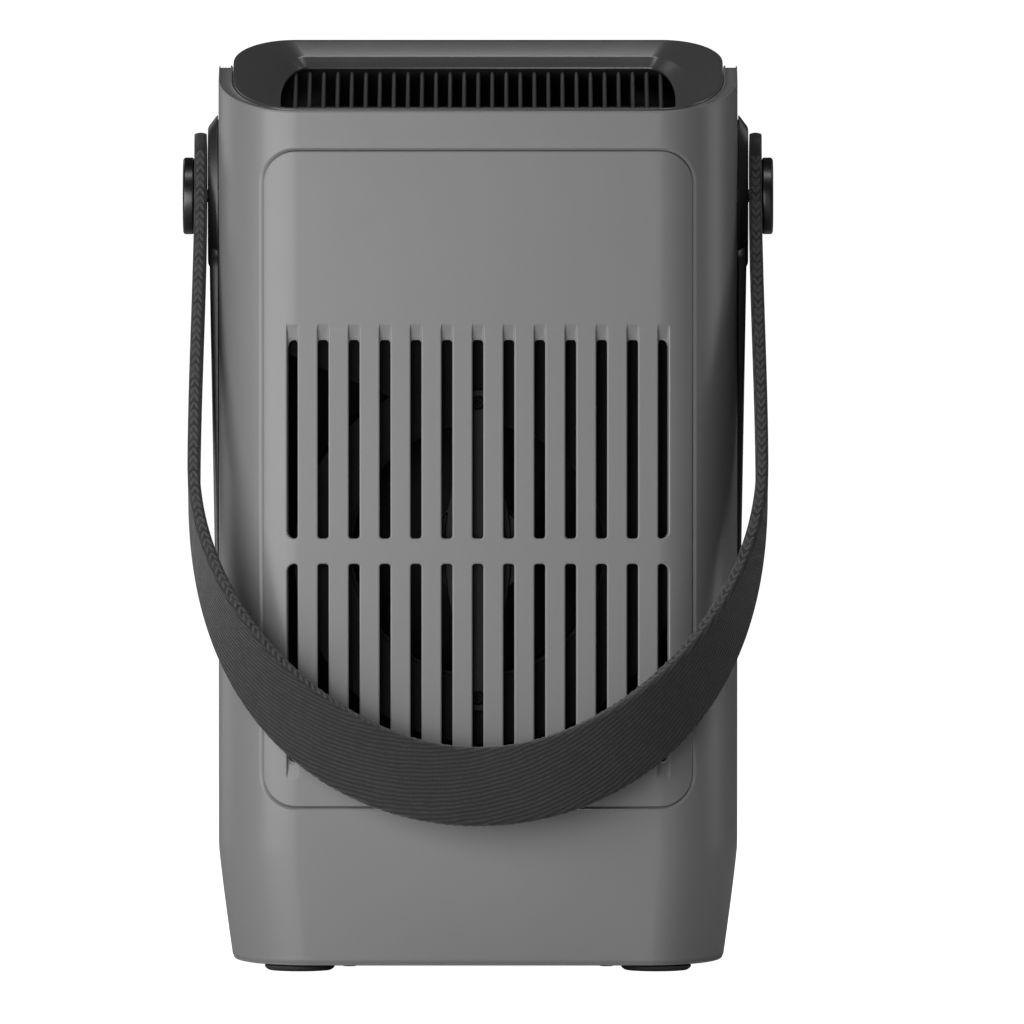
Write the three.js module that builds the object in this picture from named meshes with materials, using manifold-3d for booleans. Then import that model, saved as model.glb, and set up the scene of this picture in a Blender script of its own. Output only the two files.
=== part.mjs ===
// Portable upright fan: a slotted front shell, a scooped outlet on top, a webbing strap on two side pivots.
// Millimetres. X to the right, Y to the back, Z up. The casing is drawn about its own middle, standing on
// the resting plane; the finished group is then shifted so that its origin is the middle of its base.
import * as THREE from 'three';
import { mergeVertices } from 'three/addons/utils/BufferGeometryUtils.js';
import Module from 'manifold-3d';

const wasm = await Module();
wasm.setup();

// ---- driving dimensions ----
const clearance = 0.3; // gap between pieces that touch

const bodyWidth = 162;
const bodyDepth = 90;
const frontHeight = 268.3; // rim at the front face
const rimRise = 18.9; // from the front face's rim to the back face's
const floorHeight = 2; // underside of the casing above the resting plane
const sideWall = 4.4;
const frontWall = 2.6;
const rearWall = 2.6;
const splitY = 12.8; // where the light shell's sides end
const lapLength = 10; // how far the rear shell runs inside the light shell
const frontCorner = { x: 25, y: 40 };
const rearCorner = { x: 19, y: 28 };
const taperHeight = 37.7; // below this the sides draw in
const taperInset = 4.2;
const baseFillet = 2;

const panelWidth = 135.4;
const panelBottom = 50.8;
const panelMargin = 11.8; // from the panel's top to the rim
const panelCorner = 11;
const panelGap = 0.8;
const ledgeDepth = 2;
const ledgeOverlap = 2.5;

const slotColumns = 13;
const slotRows = 2;
const slotPitch = 9.62;
const slotWidth = 3.34;
const slotHeight = 61.8;
const slotRowGap = 7.9;
const slotCorner = 1;
const grilleHeight = 131.2; // middle of the slots, and the fan's axis

const collarDepth = 8;
const funnelRim = 1.2;
const bevelDrop = 4.1;
const mouthDrop = 7.1;
const mouthInset = 15; // from the casing's inner side to the funnel's mouth
const vaneCount = 27;
const vaneMargin = 4.8; // from the mouth's side to the middle of the last vane
const vaneThickness = 1.3;
const vaneHeight = 9;

const pivotY = 4;
const pivotBelowRim = 28.5;
const bossRadius = 25.4;
const bossForward = 10.7; // from the pivot to the boss's front, hidden behind the front corner
const bossThickness = 3.1;
const bossChamfer = 4;
const tailWidth = 20;
const tailLength = 105;
const buttonRadius = 12;
const buttonThickness = 3.5;
const buttonEdge = 0.9;
const bushRadius = 4;
const pivotScrewRadius = 2;

const strapWidth = 25;
const strapThickness = 3.5;
const strapStandoff = 18.6; // from the front face to the webbing's middle, at the lowest point
const strapDrop = 92; // from the pivot to where the loop starts to close
const loopDepth = 101;
const loopBulge = 1.8;
const strapTwist = 72; // degrees that the webbing has turned at the lowest point
const strapTwistEase = 1.7; // how late on the way down it turns
const strapTab = 19; // above the pivot
const strapTabCorner = 8;
const strapFit = 0.5; // from the boss to the webbing

const footRadius = 11;
const footInset = { x: 25.5, y: 13.5 }; // from the casing's side and face to a foot's middle
const footHeight = 1.7;
const baseThickness = 2.6;

const wheelRadius = 50;
const wheelGap = 2.3; // between the wheel's front and the housing's
const wheelBackGap = 4; // between the wheel's back and the housing's back wall
const bladeCount = 24;
const bladeThickness = 1.2;
const scrollGap = 3; // between the wheel and where the spiral starts
const housingWall = 2;
const housingFrontGap = 8.6; // from the front wall, for the carrier and the inlet plate
const housingBackGap = 25; // from the back face, for the board and its keys
const housingBelowRim = 22.3;
const inletInset = 10; // how much smaller the inlet is than the wheel
const plateThickness = 2;

const carrierHalfWidth = 10.3;
const carrierHalfHeight = 42.5;
const carrierThickness = 3;
const motorRadius = 15;
const motorLength = 24;
const motorWall = 1.2;
const shaftRadius = 1.5;
const bearingRadius = 4;
const bearingLength = 3;

const cellRadius = 9.2;
const cellLength = 65;
const cellRowGap = 2.6;
const cradleFloor = 6.3; // under the cells

const boardWidth = 56;
const boardHeight = 60;
const boardBelowPower = 48;
const boardThickness = 1.6;
const boardBackGap = 16;
const controlRadius = 7;
const controlTravel = 0.8;
const controlProud = 0.6;
const powerBelowRim = 32.3;
const keyPitch = 24;
const socketHeight = 150;
const socketWidth = 9;
const socketTall = 3.2;

const screwRadius = 1.5;
const screwHeadRadius = 2.8;
const screwHeadHeight = 1.8;
const lugRadius = 4;
const lugOverlap = 0.6; // how far a screw lug runs into the housing's wall
const lowLugHeight = 66;
const baseScrewX = 40;
const baseScrewY = 36;

// ---- worked out from the driving dimensions ----
const bodyFront = -bodyDepth / 2;
const bodyBack = bodyDepth / 2;
const outerHalf = bodyWidth / 2;
const coreHalf = outerHalf - sideWall;
const coreFront = bodyFront + frontWall;
const rearHeight = frontHeight + rimRise;
const topSlope = rimRise / bodyDepth;
const rimHeight = (y) => frontHeight + topSlope * (y - bodyFront);
const panelTop = frontHeight - panelMargin;
const pivotHeight = frontHeight - pivotBelowRim;
const mouthHalf = coreHalf - mouthInset;
const vanePitch = (2 * (mouthHalf - vaneMargin)) / (vaneCount - 1);
const footX = outerHalf - footInset.x;
const footY = bodyBack - footInset.y;
const housingFront = coreFront + housingFrontGap;
const housingBack = bodyBack - housingBackGap;
const housingTop = frontHeight - housingBelowRim;
const outletHalfWidth = mouthHalf + 0.4;
const wheelFront = housingFront + wheelGap;
const wheelBack = housingBack - housingWall - wheelBackGap;
const inletRadius = wheelRadius - inletInset;
const scrollStart = wheelRadius + scrollGap;
const scrollGrowth = outletHalfWidth - scrollStart;
const lugX = outletHalfWidth + housingWall + lugRadius - lugOverlap;
const lugHeights = [lowLugHeight, housingTop - 10];
const powerHeight = frontHeight - powerBelowRim;
const speedHeight = powerHeight - keyPitch;
const boardBase = powerHeight - boardBelowPower;
const boardY = bodyBack - boardBackGap;
const cellRowPitch = 2 * cellRadius + cellRowGap;
const tallest = rearHeight + 20;
const radians = THREE.MathUtils.degToRad;

// ---- solids: closed geometries in, manifolds cut and joined, one geometry out ----
function solid(geometry) {
  const bare = geometry.clone();
  bare.deleteAttribute('normal');
  bare.deleteAttribute('uv');
  const merged = mergeVertices(bare, 1e-4);
  const mesh = new wasm.Mesh({
    numProp: 3,
    vertProperties: new Float32Array(merged.attributes.position.array),
    triVerts: new Uint32Array(merged.index.array),
  });
  return new wasm.Manifold(mesh);
}

const join = (first, ...others) => others.reduce((body, other) => body.add(other), first);
const cut = (first, ...others) => others.reduce((body, other) => body.subtract(other), first);
const common = (first, ...others) => others.reduce((body, other) => body.intersect(other), first);

function geometryOf(body) {
  const { numProp, vertProperties, triVerts } = body.getMesh();
  const places = new Float32Array((vertProperties.length / numProp) * 3);
  for (let i = 0; i < places.length / 3; i += 1) {
    for (let axis = 0; axis < 3; axis += 1) places[3 * i + axis] = vertProperties[numProp * i + axis];
  }
  const geometry = new THREE.BufferGeometry();
  geometry.setAttribute('position', new THREE.BufferAttribute(places, 3));
  geometry.setIndex(new THREE.BufferAttribute(new Uint32Array(triVerts), 1));
  geometry.computeVertexNormals();
  return geometry;
}

const group = new THREE.Group();

function add(name, body, color, roughness, metalness = 0) {
  const material = new THREE.MeshStandardMaterial({ color, roughness, metalness, flatShading: true });
  const mesh = new THREE.Mesh(geometryOf(body), material);
  mesh.name = name;
  group.add(mesh);
}

// ---- basic shapes ----
function block(x0, x1, y0, y1, z0, z1) {
  const geometry = new THREE.BoxGeometry(x1 - x0, y1 - y0, z1 - z0);
  return solid(geometry.translate((x0 + x1) / 2, (y0 + y1) / 2, (z0 + z1) / 2));
}

// A round bar along Y (three's own cylinder axis), between two places on that axis.
function barY(radius, y0, y1, x, z, sides = 32, endRadius = radius) {
  const geometry = new THREE.CylinderGeometry(endRadius, radius, y1 - y0, sides);
  return solid(geometry.translate(x, (y0 + y1) / 2, z));
}

function barX(radius, x0, x1, y, z, sides = 32, endRadius = radius) {
  const geometry = new THREE.CylinderGeometry(radius, endRadius, x1 - x0, sides).rotateZ(Math.PI / 2);
  return solid(geometry.translate((x0 + x1) / 2, y, z));
}

function barZ(radius, z0, z1, x, y, sides = 24) {
  const geometry = new THREE.CylinderGeometry(radius, radius, z1 - z0, sides).rotateX(Math.PI / 2);
  return solid(geometry.translate(x, y, (z0 + z1) / 2));
}

// A rounded rectangle in its own plane.
function roundedRectangle(x0, x1, y0, y1, corner) {
  const shape = new THREE.Shape();
  shape.moveTo(x0 + corner, y0);
  shape.lineTo(x1 - corner, y0);
  shape.absarc(x1 - corner, y0 + corner, corner, -Math.PI / 2, 0);
  shape.absarc(x1 - corner, y1 - corner, corner, 0, Math.PI / 2);
  shape.absarc(x0 + corner, y1 - corner, corner, Math.PI / 2, Math.PI);
  shape.absarc(x0 + corner, y0 + corner, corner, Math.PI, 1.5 * Math.PI);
  return shape;
}

function polygon(points) {
  return new THREE.Shape(points.map(([x, y]) => new THREE.Vector2(x, y)));
}

// A shape drawn as seen from the front (x, z), run along Y.
function prismY(shape, y0, y1, curveSegments = 4) {
  const geometry = new THREE.ExtrudeGeometry(shape, { depth: y1 - y0, bevelEnabled: false, curveSegments });
  return solid(geometry.rotateX(Math.PI / 2).translate(0, y1, 0));
}

// A shape drawn as seen from the right side (y, z), run along X.
function prismX(shape, x0, x1, curveSegments = 4) {
  const geometry = new THREE.ExtrudeGeometry(shape, { depth: x1 - x0, bevelEnabled: false, curveSegments });
  return solid(geometry.rotateX(Math.PI / 2).rotateZ(Math.PI / 2).translate(x0, 0, 0));
}

// A section run in even steps and then placed point by point: place(u, v, step) gives the final point.
function placed(shape, steps, place, curveSegments = 4) {
  const settings = { depth: steps, steps, bevelEnabled: false, curveSegments };
  const geometry = new THREE.ExtrudeGeometry(shape, settings);
  const position = geometry.attributes.position;
  for (let i = 0; i < position.count; i += 1) {
    const point = place(position.getX(i), position.getY(i), Math.round(position.getZ(i)));
    position.setXYZ(i, point.x, point.y, point.z);
  }
  return solid(geometry);
}

// ---- the casing's plan ----
// Straight sides and faces joined by elliptical corners, as seen from above.
function plan({ half, front, back, nose, tail }) {
  const shape = new THREE.Shape();
  const quarter = Math.PI / 2;
  shape.moveTo(-half + nose.x, front);
  shape.lineTo(half - nose.x, front);
  shape.absellipse(half - nose.x, front + nose.y, nose.x, nose.y, -quarter, 0);
  shape.absellipse(half - tail.x, back - tail.y, tail.x, tail.y, 0, quarter);
  shape.absellipse(-half + tail.x, back - tail.y, tail.x, tail.y, quarter, 2 * quarter);
  shape.absellipse(-half + nose.x, front + nose.y, nose.x, nose.y, 2 * quarter, 3 * quarter);
  return shape;
}

const shrunk = (corner, inset) => ({ x: corner.x - inset, y: corner.y - inset });

function outerPlan(inset = 0) {
  return plan({
    half: outerHalf - inset,
    front: bodyFront + inset,
    back: bodyBack + 40,
    nose: shrunk(frontCorner, inset),
    tail: { x: 5, y: 5 },
  });
}

function corePlan(inset = 0) {
  return plan({
    half: coreHalf - inset,
    front: coreFront + inset,
    back: bodyBack - inset,
    nose: { x: frontCorner.x - sideWall - inset, y: frontCorner.y - frontWall - inset },
    tail: shrunk(rearCorner, inset),
  });
}

// Heights of the casing's walls, with how far the sides and the front and back have drawn in.
const wallLevels = [
  { z: floorHeight, side: taperInset + 1.8, face: 1.7 },
  { z: floorHeight + 0.3 * baseFillet, side: taperInset + 0.9, face: 0.9 },
  { z: floorHeight + baseFillet, side: taperInset, face: 0.1 },
  { z: (floorHeight + baseFillet + taperHeight) / 2, side: 0.45 * taperInset, face: 0 },
  { z: taperHeight, side: 0, face: 0 },
  { z: tallest, side: 0, face: 0 },
];

function casing(shape) {
  return placed(shape, wallLevels.length - 1, (x, y, step) => {
    const level = wallLevels[step];
    const across = x * (1 - level.side / outerHalf);
    const along = y * (1 - level.face / bodyBack);
    return new THREE.Vector3(across, along, level.z);
  }, 5);
}

// Everything below the slanted rim, lowered by drop.
function belowRim(drop = 0) {
  const reach = 100;
  const low = rimHeight(-reach) - drop;
  const high = rimHeight(reach) - drop;
  return prismX(polygon([[-reach, -20], [reach, -20], [reach, high], [-reach, low]]), -reach, reach);
}

const everything = 200;
const ahead = (y) => block(-everything, everything, -everything, y, -everything, 2 * everything);
const behind = (y) => block(-everything, everything, y, everything, -everything, 2 * everything);

const outerBody = casing(outerPlan());
const coreBody = casing(corePlan());
const fittedCore = casing(corePlan(clearance));

// ---- front shell, its panel and slots ----
function panelOutline(outset) {
  const half = panelWidth / 2 + outset;
  const shape = roundedRectangle(-half, half, panelBottom - outset, panelTop + outset, panelCorner + outset);
  return prismY(shape, bodyFront - 5, 0, 5);
}

function frontShell() {
  const skin = common(cut(outerBody, coreBody), belowRim(), ahead(splitY));
  const window = panelOutline(0);
  const ledgeRing = cut(panelOutline(ledgeOverlap), panelOutline(-ledgeOverlap));
  const ledgeBand = cut(casing(corePlan(-0.2)), casing(corePlan(ledgeDepth)));
  const panelSpace = common(window, cut(outerBody, fittedCore));
  const ledge = cut(common(ledgeRing, ledgeBand), panelSpace);
  const pivotHoles = barX(pivotScrewRadius + clearance, -everything, everything, pivotY, pivotHeight, 16);
  return cut(join(cut(skin, window), ledge), pivotHoles);
}

function slots() {
  const columns = [];
  const bottom = grilleHeight - slotHeight - slotRowGap / 2;
  for (let row = 0; row < slotRows; row += 1) {
    const z = bottom + row * (slotHeight + slotRowGap);
    for (let column = 0; column < slotColumns; column += 1) {
      const x = (column - (slotColumns - 1) / 2) * slotPitch;
      const shape = roundedRectangle(x - slotWidth / 2, x + slotWidth / 2, z, z + slotHeight, slotCorner);
      columns.push(prismY(shape, bodyFront - 5, 0, 1));
    }
  }
  return columns;
}

function frontGrille() {
  const panel = common(cut(outerBody, coreBody), panelOutline(-panelGap));
  return cut(panel, ...slots());
}

// ---- rear shell ----
const casePoints = lugHeights.flatMap((z) => [[-lugX, z], [lugX, z]]);

function rearShell() {
  const skin = cut(fittedCore, casing(corePlan(clearance + rearWall)));
  let body = common(skin, belowRim(collarDepth + clearance), behind(splitY - lapLength));
  const boss = lugRadius;
  for (const [x, z] of casePoints) {
    const post = barY(boss, housingBack + clearance, bodyBack - rearWall / 2, x, z, 12);
    body = join(body, common(post, fittedCore));
  }
  for (const [x, z] of casePoints) {
    body = cut(body, barY(screwRadius + clearance, 0, everything, x, z, 8));
    body = cut(body, barY(screwHeadRadius + clearance, bodyBack - 8, everything, x, z, 12));
  }
  for (const z of [powerHeight, speedHeight]) {
    body = cut(body, barY(controlRadius + clearance, bodyBack - 6, everything, 0, z, 24));
  }
  const socket = block(
    -socketWidth / 2 - clearance, socketWidth / 2 + clearance, 0, everything,
    socketHeight - socketTall / 2 - clearance, socketHeight + socketTall / 2 + clearance,
  );
  const pivotHoles = barX(pivotScrewRadius + clearance, -everything, everything, pivotY, pivotHeight, 16);
  return cut(body, socket, pivotHoles);
}

// ---- top collar: a funnel whose sides slope more gently than its back ----
const mouth = { side: mouthInset, face: 6, nose: { x: 8.5, y: 16 }, tail: { x: 8.5, y: 39 } };
const bevel = { side: 8, face: 5, nose: { x: 14.5, y: 20 }, tail: { x: 14.5, y: 54 } };

// Outlines of the funnel, as fractions of the way from the rim to the mouth, share one point count.
function funnelTool() {
  const outlines = [
    { shape: funnelPlan(mouth), drop: collarDepth + 8 },
    { shape: funnelPlan(mouth), drop: mouthDrop },
    { shape: funnelPlan(bevel), drop: bevelDrop },
    { shape: corePlan(funnelRim), drop: 0 },
    { shape: corePlan(funnelRim), drop: -8 },
  ];
  const rings = outlines.map(({ shape, drop }) => ({ points: shape.getPoints(5), drop }));
  const indexOf = (x, y) => rings[0].points.findIndex((point) => Math.hypot(point.x - x, point.y - y) < 1e-3);
  return placed(outlines[0].shape, rings.length - 1, (x, y, step) => {
    const ring = rings[step];
    const point = ring.points[indexOf(x, y)];
    return new THREE.Vector3(point.x, point.y, rimHeight(point.y) - ring.drop);
  }, 5);
}

function funnelPlan({ side, face, nose, tail }) {
  return plan({ half: coreHalf - side, front: coreFront + face, back: bodyBack - face, nose, tail });
}

function topCollar() {
  const ring = common(cut(belowRim(), belowRim(collarDepth)), fittedCore);
  return cut(ring, funnelTool());
}

function outletVanes() {
  const half = (vaneCount - 1) / 2;
  const front = coreFront + mouth.face + 1.5;
  const back = bodyBack - mouth.face - 1.5;
  const top = (y) => rimHeight(y) - collarDepth - clearance;
  let body;
  for (const y of [front + 20, back - 20]) {
    const reach = half * vanePitch + 1;
    const bar = block(-reach, reach, y - 1, y + 1, top(y) - vaneHeight + 0.5, top(y) - vaneHeight + 3);
    body = body ? join(body, bar) : bar;
  }
  for (let i = -half; i <= half; i += 1) {
    const x = i * vanePitch;
    const upper = [[back, top(back)], [front, top(front)]];
    const lower = [[front, top(front) - vaneHeight], [back, top(back) - vaneHeight]];
    body = join(body, prismX(polygon([...lower, ...upper]), x - vaneThickness / 2, x + vaneThickness / 2));
  }
  return body;
}

// ---- base and feet ----
const fourCorners = [[-1, -1], [1, -1], [-1, 1], [1, 1]];
const footPoints = fourCorners.map(([right, back]) => ({
  name: `foot_${back < 0 ? 'front' : 'rear'}_${right < 0 ? 'left' : 'right'}`,
  x: right * footX,
  y: back * footY,
}));
const baseScrewPoints = fourCorners.map(([right, back]) => [right * baseScrewX, back * baseScrewY]);
const plateBottom = footHeight + clearance;
const plateTop = plateBottom + baseThickness;
const cellHeight = plateTop + clearance + cradleFloor + cellRadius;
const stemRadius = 2.5;

function basePlate() {
  const slab = block(-everything, everything, -everything, everything, plateBottom, plateTop);
  const wide = common(slab, fittedCore, ahead(splitY - lapLength - clearance));
  const narrow = common(slab, casing(corePlan(clearance + rearWall + clearance)));
  let body = join(wide, narrow);
  for (const { x, y } of footPoints) body = cut(body, barZ(stemRadius + clearance, 0, 20, x, y, 12));
  for (const [x, y] of baseScrewPoints) body = cut(body, barZ(screwRadius + clearance, 0, 20, x, y, 12));
  return body;
}

function foot({ x, y }) {
  const profile = [
    [0, 0], [footRadius - 1.6, 0], [footRadius - 0.4, 0.6], [footRadius, 1.5], [footRadius, footHeight],
    [stemRadius, footHeight], [stemRadius, plateTop + 1], [0, plateTop + 1],
  ].map(([r, z]) => new THREE.Vector2(r, z));
  const geometry = new THREE.LatheGeometry(profile, 20).rotateX(Math.PI / 2);
  return solid(geometry.translate(x, y, 0));
}

// ---- side plates and pivots; side is -1 on the left and 1 on the right ----
const plateFace = outerHalf + clearance + bossThickness;
const strapInner = plateFace + strapFit;
const strapOuter = strapInner + strapThickness;
const buttonInner = strapOuter + clearance;

const onSide = (side, body) => (side > 0 ? body : body.mirror([1, 0, 0]));

function sidePlate(side) {
  const chamferStart = plateFace - bossChamfer * 0.75;
  const disc = join(
    barX(bossRadius, outerHalf - 12, chamferStart, pivotY, pivotHeight, 40),
    barX(bossRadius, chamferStart - 0.01, plateFace, pivotY, pivotHeight, 40, bossRadius - bossChamfer),
  ).warp((point) => {
    if (point[1] < pivotY) point[1] = pivotY + ((point[1] - pivotY) * bossForward) / bossRadius;
  });
  const tailTop = pivotHeight - bossRadius + 2;
  const tailBottom = pivotHeight - bossRadius - tailLength;
  const wedge = polygon([
    [outerHalf - 8, tailBottom], [outerHalf + clearance + 0.6, tailBottom], [plateFace - 0.6, tailTop],
    [outerHalf - 8, tailTop],
  ]);
  const half = tailWidth / 2;
  const strip = roundedRectangle(pivotY - half, pivotY + half, tailBottom, tailTop + half, half - 1);
  const tapered = prismY(wedge, pivotY - half, pivotY + half);
  const tail = common(tapered, prismX(strip, outerHalf - 12, plateFace + 1));
  const saddle = join(casing(outerPlan(-clearance)), casing(corePlan(-clearance)));
  const lightPart = common(saddle, ahead(splitY + clearance));
  const darkPart = common(casing(corePlan(0)), behind(0));
  const body = cut(join(disc, tail), lightPart, darkPart);
  const hole = barX(pivotScrewRadius + clearance, 0, everything, pivotY, pivotHeight, 16);
  return onSide(side, cut(body, hole));
}

function strapButton(side) {
  const outer = buttonInner + buttonThickness;
  const body = join(
    barX(buttonRadius, buttonInner, outer - buttonEdge, pivotY, pivotHeight, 28),
    barX(buttonRadius, outer - buttonEdge - 0.01, outer, pivotY, pivotHeight, 28, buttonRadius - buttonEdge),
  );
  const bore = barX(pivotScrewRadius + clearance, 0, outer - 1.2, pivotY, pivotHeight, 16);
  return onSide(side, cut(body, bore));
}

function pivotBush(side) {
  const sleeve = barX(bushRadius, plateFace + clearance, strapOuter, pivotY, pivotHeight, 24);
  const bore = barX(pivotScrewRadius + clearance, 0, everything, pivotY, pivotHeight, 16);
  return onSide(side, cut(sleeve, bore));
}

function pivotScrew(side) {
  const inside = coreHalf - clearance - rearWall - clearance;
  const tip = buttonInner + buttonThickness - 1.2 - clearance;
  const shank = barX(pivotScrewRadius, inside - 1, tip, pivotY, pivotHeight, 16);
  const head = barX(3.8, inside - 2.4, inside, pivotY, pivotHeight, 20);
  return onSide(side, join(shank, head));
}

// ---- strap: one ribbon, flat against the pivots and turned to face forward at the lowest point ----
const strapMiddle = strapInner + strapThickness / 2;
const loopHalf = strapMiddle + loopBulge;
const lean = Math.asin((pivotY - bodyFront + strapStandoff) / (strapDrop + loopDepth));
const strapDown = new THREE.Vector3(0, -Math.sin(lean), -Math.cos(lean));
const strapForward = new THREE.Vector3(0, -Math.cos(lean), Math.sin(lean));
const strapRight = new THREE.Vector3(1, 0, 0);
const pivotPoint = new THREE.Vector3(0, pivotY, pivotHeight);

// Where the middle of the webbing is: down the left side, round the loop, up the right side.
function strapStations() {
  const stations = [];
  const tabEnd = [0, 0.1, 0.3, 0.6, 1].map((share) => share * strapTabCorner - strapTab);
  const fall = [...tabEnd, 0.33 * strapDrop, 0.67 * strapDrop];
  for (const down of fall) {
    const share = Math.max(0, down / strapDrop);
    const ease = share * share * (3 - 2 * share);
    stations.push({ across: -(strapMiddle + loopBulge * ease), down, turn: 0 });
  }
  const loopSteps = 26;
  for (let i = 0; i <= loopSteps; i += 1) {
    const angle = (Math.PI * i) / loopSteps;
    const across = -loopHalf * Math.cos(angle);
    const down = strapDrop + loopDepth * Math.sin(angle);
    const turn = radians(strapTwist) * Math.abs(Math.sin(angle)) ** strapTwistEase;
    stations.push({ across, down, turn });
  }
  const other = stations.slice(0, fall.length).reverse();
  return [...stations, ...other.map((station) => ({ ...station, across: -station.across }))];
}

function strapBody() {
  const stations = strapStations();
  const middles = stations.map(({ across, down }) => (
    pivotPoint.clone().addScaledVector(strapRight, across).addScaledVector(strapDown, down)
  ));
  const last = stations.length - 1;
  const frames = stations.map(({ down, turn }, index) => {
    const from = middles[Math.max(0, index - 1)];
    const to = middles[Math.min(last, index + 1)];
    const along = to.clone().sub(from).normalize();
    const inward = strapForward.clone().cross(along).normalize();
    const wide = strapForward.clone().multiplyScalar(Math.cos(turn)).addScaledVector(inward, Math.sin(turn));
    const thick = along.clone().cross(wide).normalize();
    const fromTip = Math.max(0, strapTabCorner - (down + strapTab));
    const corner = strapTabCorner - Math.sqrt(strapTabCorner ** 2 - fromTip ** 2);
    return { wide, thick, half: strapWidth / 2 - corner };
  });
  const section = polygon([[-1, -1], [1, -1], [1, 1], [-1, 1]]);
  const ribbon = placed(section, last, (u, v, step) => {
    const { wide, thick, half } = frames[step];
    const point = middles[step].clone().addScaledVector(wide, u * half);
    return point.addScaledVector(thick, (v * strapThickness) / 2);
  });
  return cut(ribbon, barX(bushRadius + clearance, -everything, everything, pivotY, pivotHeight, 24));
}

// ---- fan housing: a growing spiral that opens upwards ----
function scrollOutline(wall) {
  const steps = 40;
  const points = [];
  const startAngle = radians(120);
  const sweep = radians(240);
  for (let i = 0; i <= steps; i += 1) {
    const share = i / steps;
    const radius = scrollStart + scrollGrowth * share + wall;
    const angle = startAngle + sweep * share;
    points.push([radius * Math.cos(angle), grilleHeight + radius * Math.sin(angle)]);
  }
  const half = outletHalfWidth + wall;
  const top = housingTop + (wall > 0 ? 0 : 10);
  points.push([half, top], [-half, top], [-half, grilleHeight + 1.05 * outletHalfWidth - wall]);
  return polygon(points);
}

function fanHousing() {
  const shell = prismY(scrollOutline(housingWall), housingFront, housingBack);
  const back = common(
    block(-lugX - lugRadius, lugX + lugRadius, housingBack - housingWall, housingBack, 58, housingTop),
    casing(corePlan(2 * clearance + rearWall)),
  );
  const hollow = prismY(scrollOutline(0), housingFront - 1, housingBack - housingWall);
  let body = cut(join(shell, back), hollow);
  for (const [x, z] of casePoints) {
    const lug = common(
      barY(lugRadius, housingBack - 10, housingBack, x, z, 16),
      casing(corePlan(2 * clearance + rearWall)),
    );
    const pilot = barY(screwRadius + clearance, housingBack - 8, housingBack + 1, x, z, 12);
    body = cut(join(body, lug), pilot);
  }
  const shaftHole = barY(shaftRadius + 1, 0, everything, 0, grilleHeight, 12);
  const pivotGap = barX(4.5, -everything, everything, pivotY, pivotHeight, 16);
  return cut(body, shaftHole, pivotGap);
}

const inletBack = housingFront - clearance;
const inletFront = inletBack - plateThickness;
const carrierBack = inletFront - clearance;
const carrierFront = carrierBack - carrierThickness;
const carrierReach = inletRadius + 10;

function inletPlate() {
  const outline = scrollOutline(housingWall);
  const sheet = common(prismY(outline, inletFront, inletBack), casing(corePlan(2 * clearance + ledgeDepth)));
  const mouthCut = barY(inletRadius, -everything, 0, 0, grilleHeight, 48);
  const holes = carrierScrewPoints.map(([x, z]) => barY(screwRadius + clearance, -everything, 0, x, z, 12));
  return cut(sheet, mouthCut, ...holes);
}

// The carrier is a lens-shaped upright across the inlet, with a tab at each end.
const carrierScrewPoints = [[0, grilleHeight - carrierReach + 4], [0, grilleHeight + carrierReach - 4]];

function motorCarrier() {
  const lens = [];
  const steps = 12;
  for (let i = 0; i <= 2 * steps; i += 1) {
    const share = i <= steps ? i / steps : (2 * steps - i) / steps;
    const side = i <= steps ? 1 : -1;
    const width = carrierHalfWidth * (1 - (2 * share - 1) ** 2);
    if (i > 0 && i < 2 * steps && i !== steps) {
      lens.push([side * width, grilleHeight + carrierHalfHeight * (2 * share - 1)]);
    } else if (i === 0 || i === steps) {
      lens.push([0, grilleHeight + carrierHalfHeight * (2 * share - 1)]);
    }
  }
  const blade = prismY(polygon(lens), carrierFront, carrierBack);
  const low = grilleHeight - carrierReach;
  const spine = block(-2.4, 2.4, carrierFront, carrierBack, low, low + 2 * carrierReach);
  const disc = barY(motorRadius, carrierFront + 1, carrierBack, 0, grilleHeight, 32);
  const holes = carrierScrewPoints.map(([x, z]) => barY(screwRadius + clearance, -everything, 0, x, z, 12));
  return cut(join(blade, spine, disc), ...holes);
}

// ---- motor, shaft and impeller ----
const motorFront = carrierBack + clearance;
const motorBack = motorFront + motorLength;
const capDepth = 4;

function bearingPocket(y0, y1) {
  return barY(bearingRadius + clearance, y0, y1, 0, grilleHeight, 20);
}

function motorCan() {
  const can = barY(motorRadius, motorFront + capDepth + clearance, motorBack, 0, grilleHeight, 36);
  const hollow = barY(motorRadius - motorWall, motorFront, motorBack - 5, 0, grilleHeight, 36);
  const pocket = bearingPocket(motorBack - 5 - 1, motorBack - 5 + bearingLength + clearance);
  const shaftHole = barY(shaftRadius + clearance, 0 - everything, everything, 0, grilleHeight, 12);
  return cut(can, hollow, pocket, shaftHole);
}

function motorEndcap() {
  const cap = barY(motorRadius, motorFront, motorFront + capDepth, 0, grilleHeight, 36);
  return cut(cap, bearingPocket(frontBearing - clearance, motorBack));
}

function bearing(y0) {
  const race = barY(bearingRadius, y0, y0 + bearingLength, 0, grilleHeight, 20);
  return cut(race, barY(shaftRadius + clearance, -everything, everything, 0, grilleHeight, 12));
}

const frontBearing = motorFront + capDepth - bearingLength;
const backBearing = motorBack - 5 + clearance / 2;

function motorRotor() {
  const front = motorFront + capDepth + 2;
  const back = motorBack - 5 - 2;
  const magnet = barY(motorRadius - motorWall - 1.5, front, back, 0, grilleHeight, 28);
  return cut(magnet, barY(shaftRadius + clearance, -everything, everything, 0, grilleHeight, 12));
}

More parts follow.
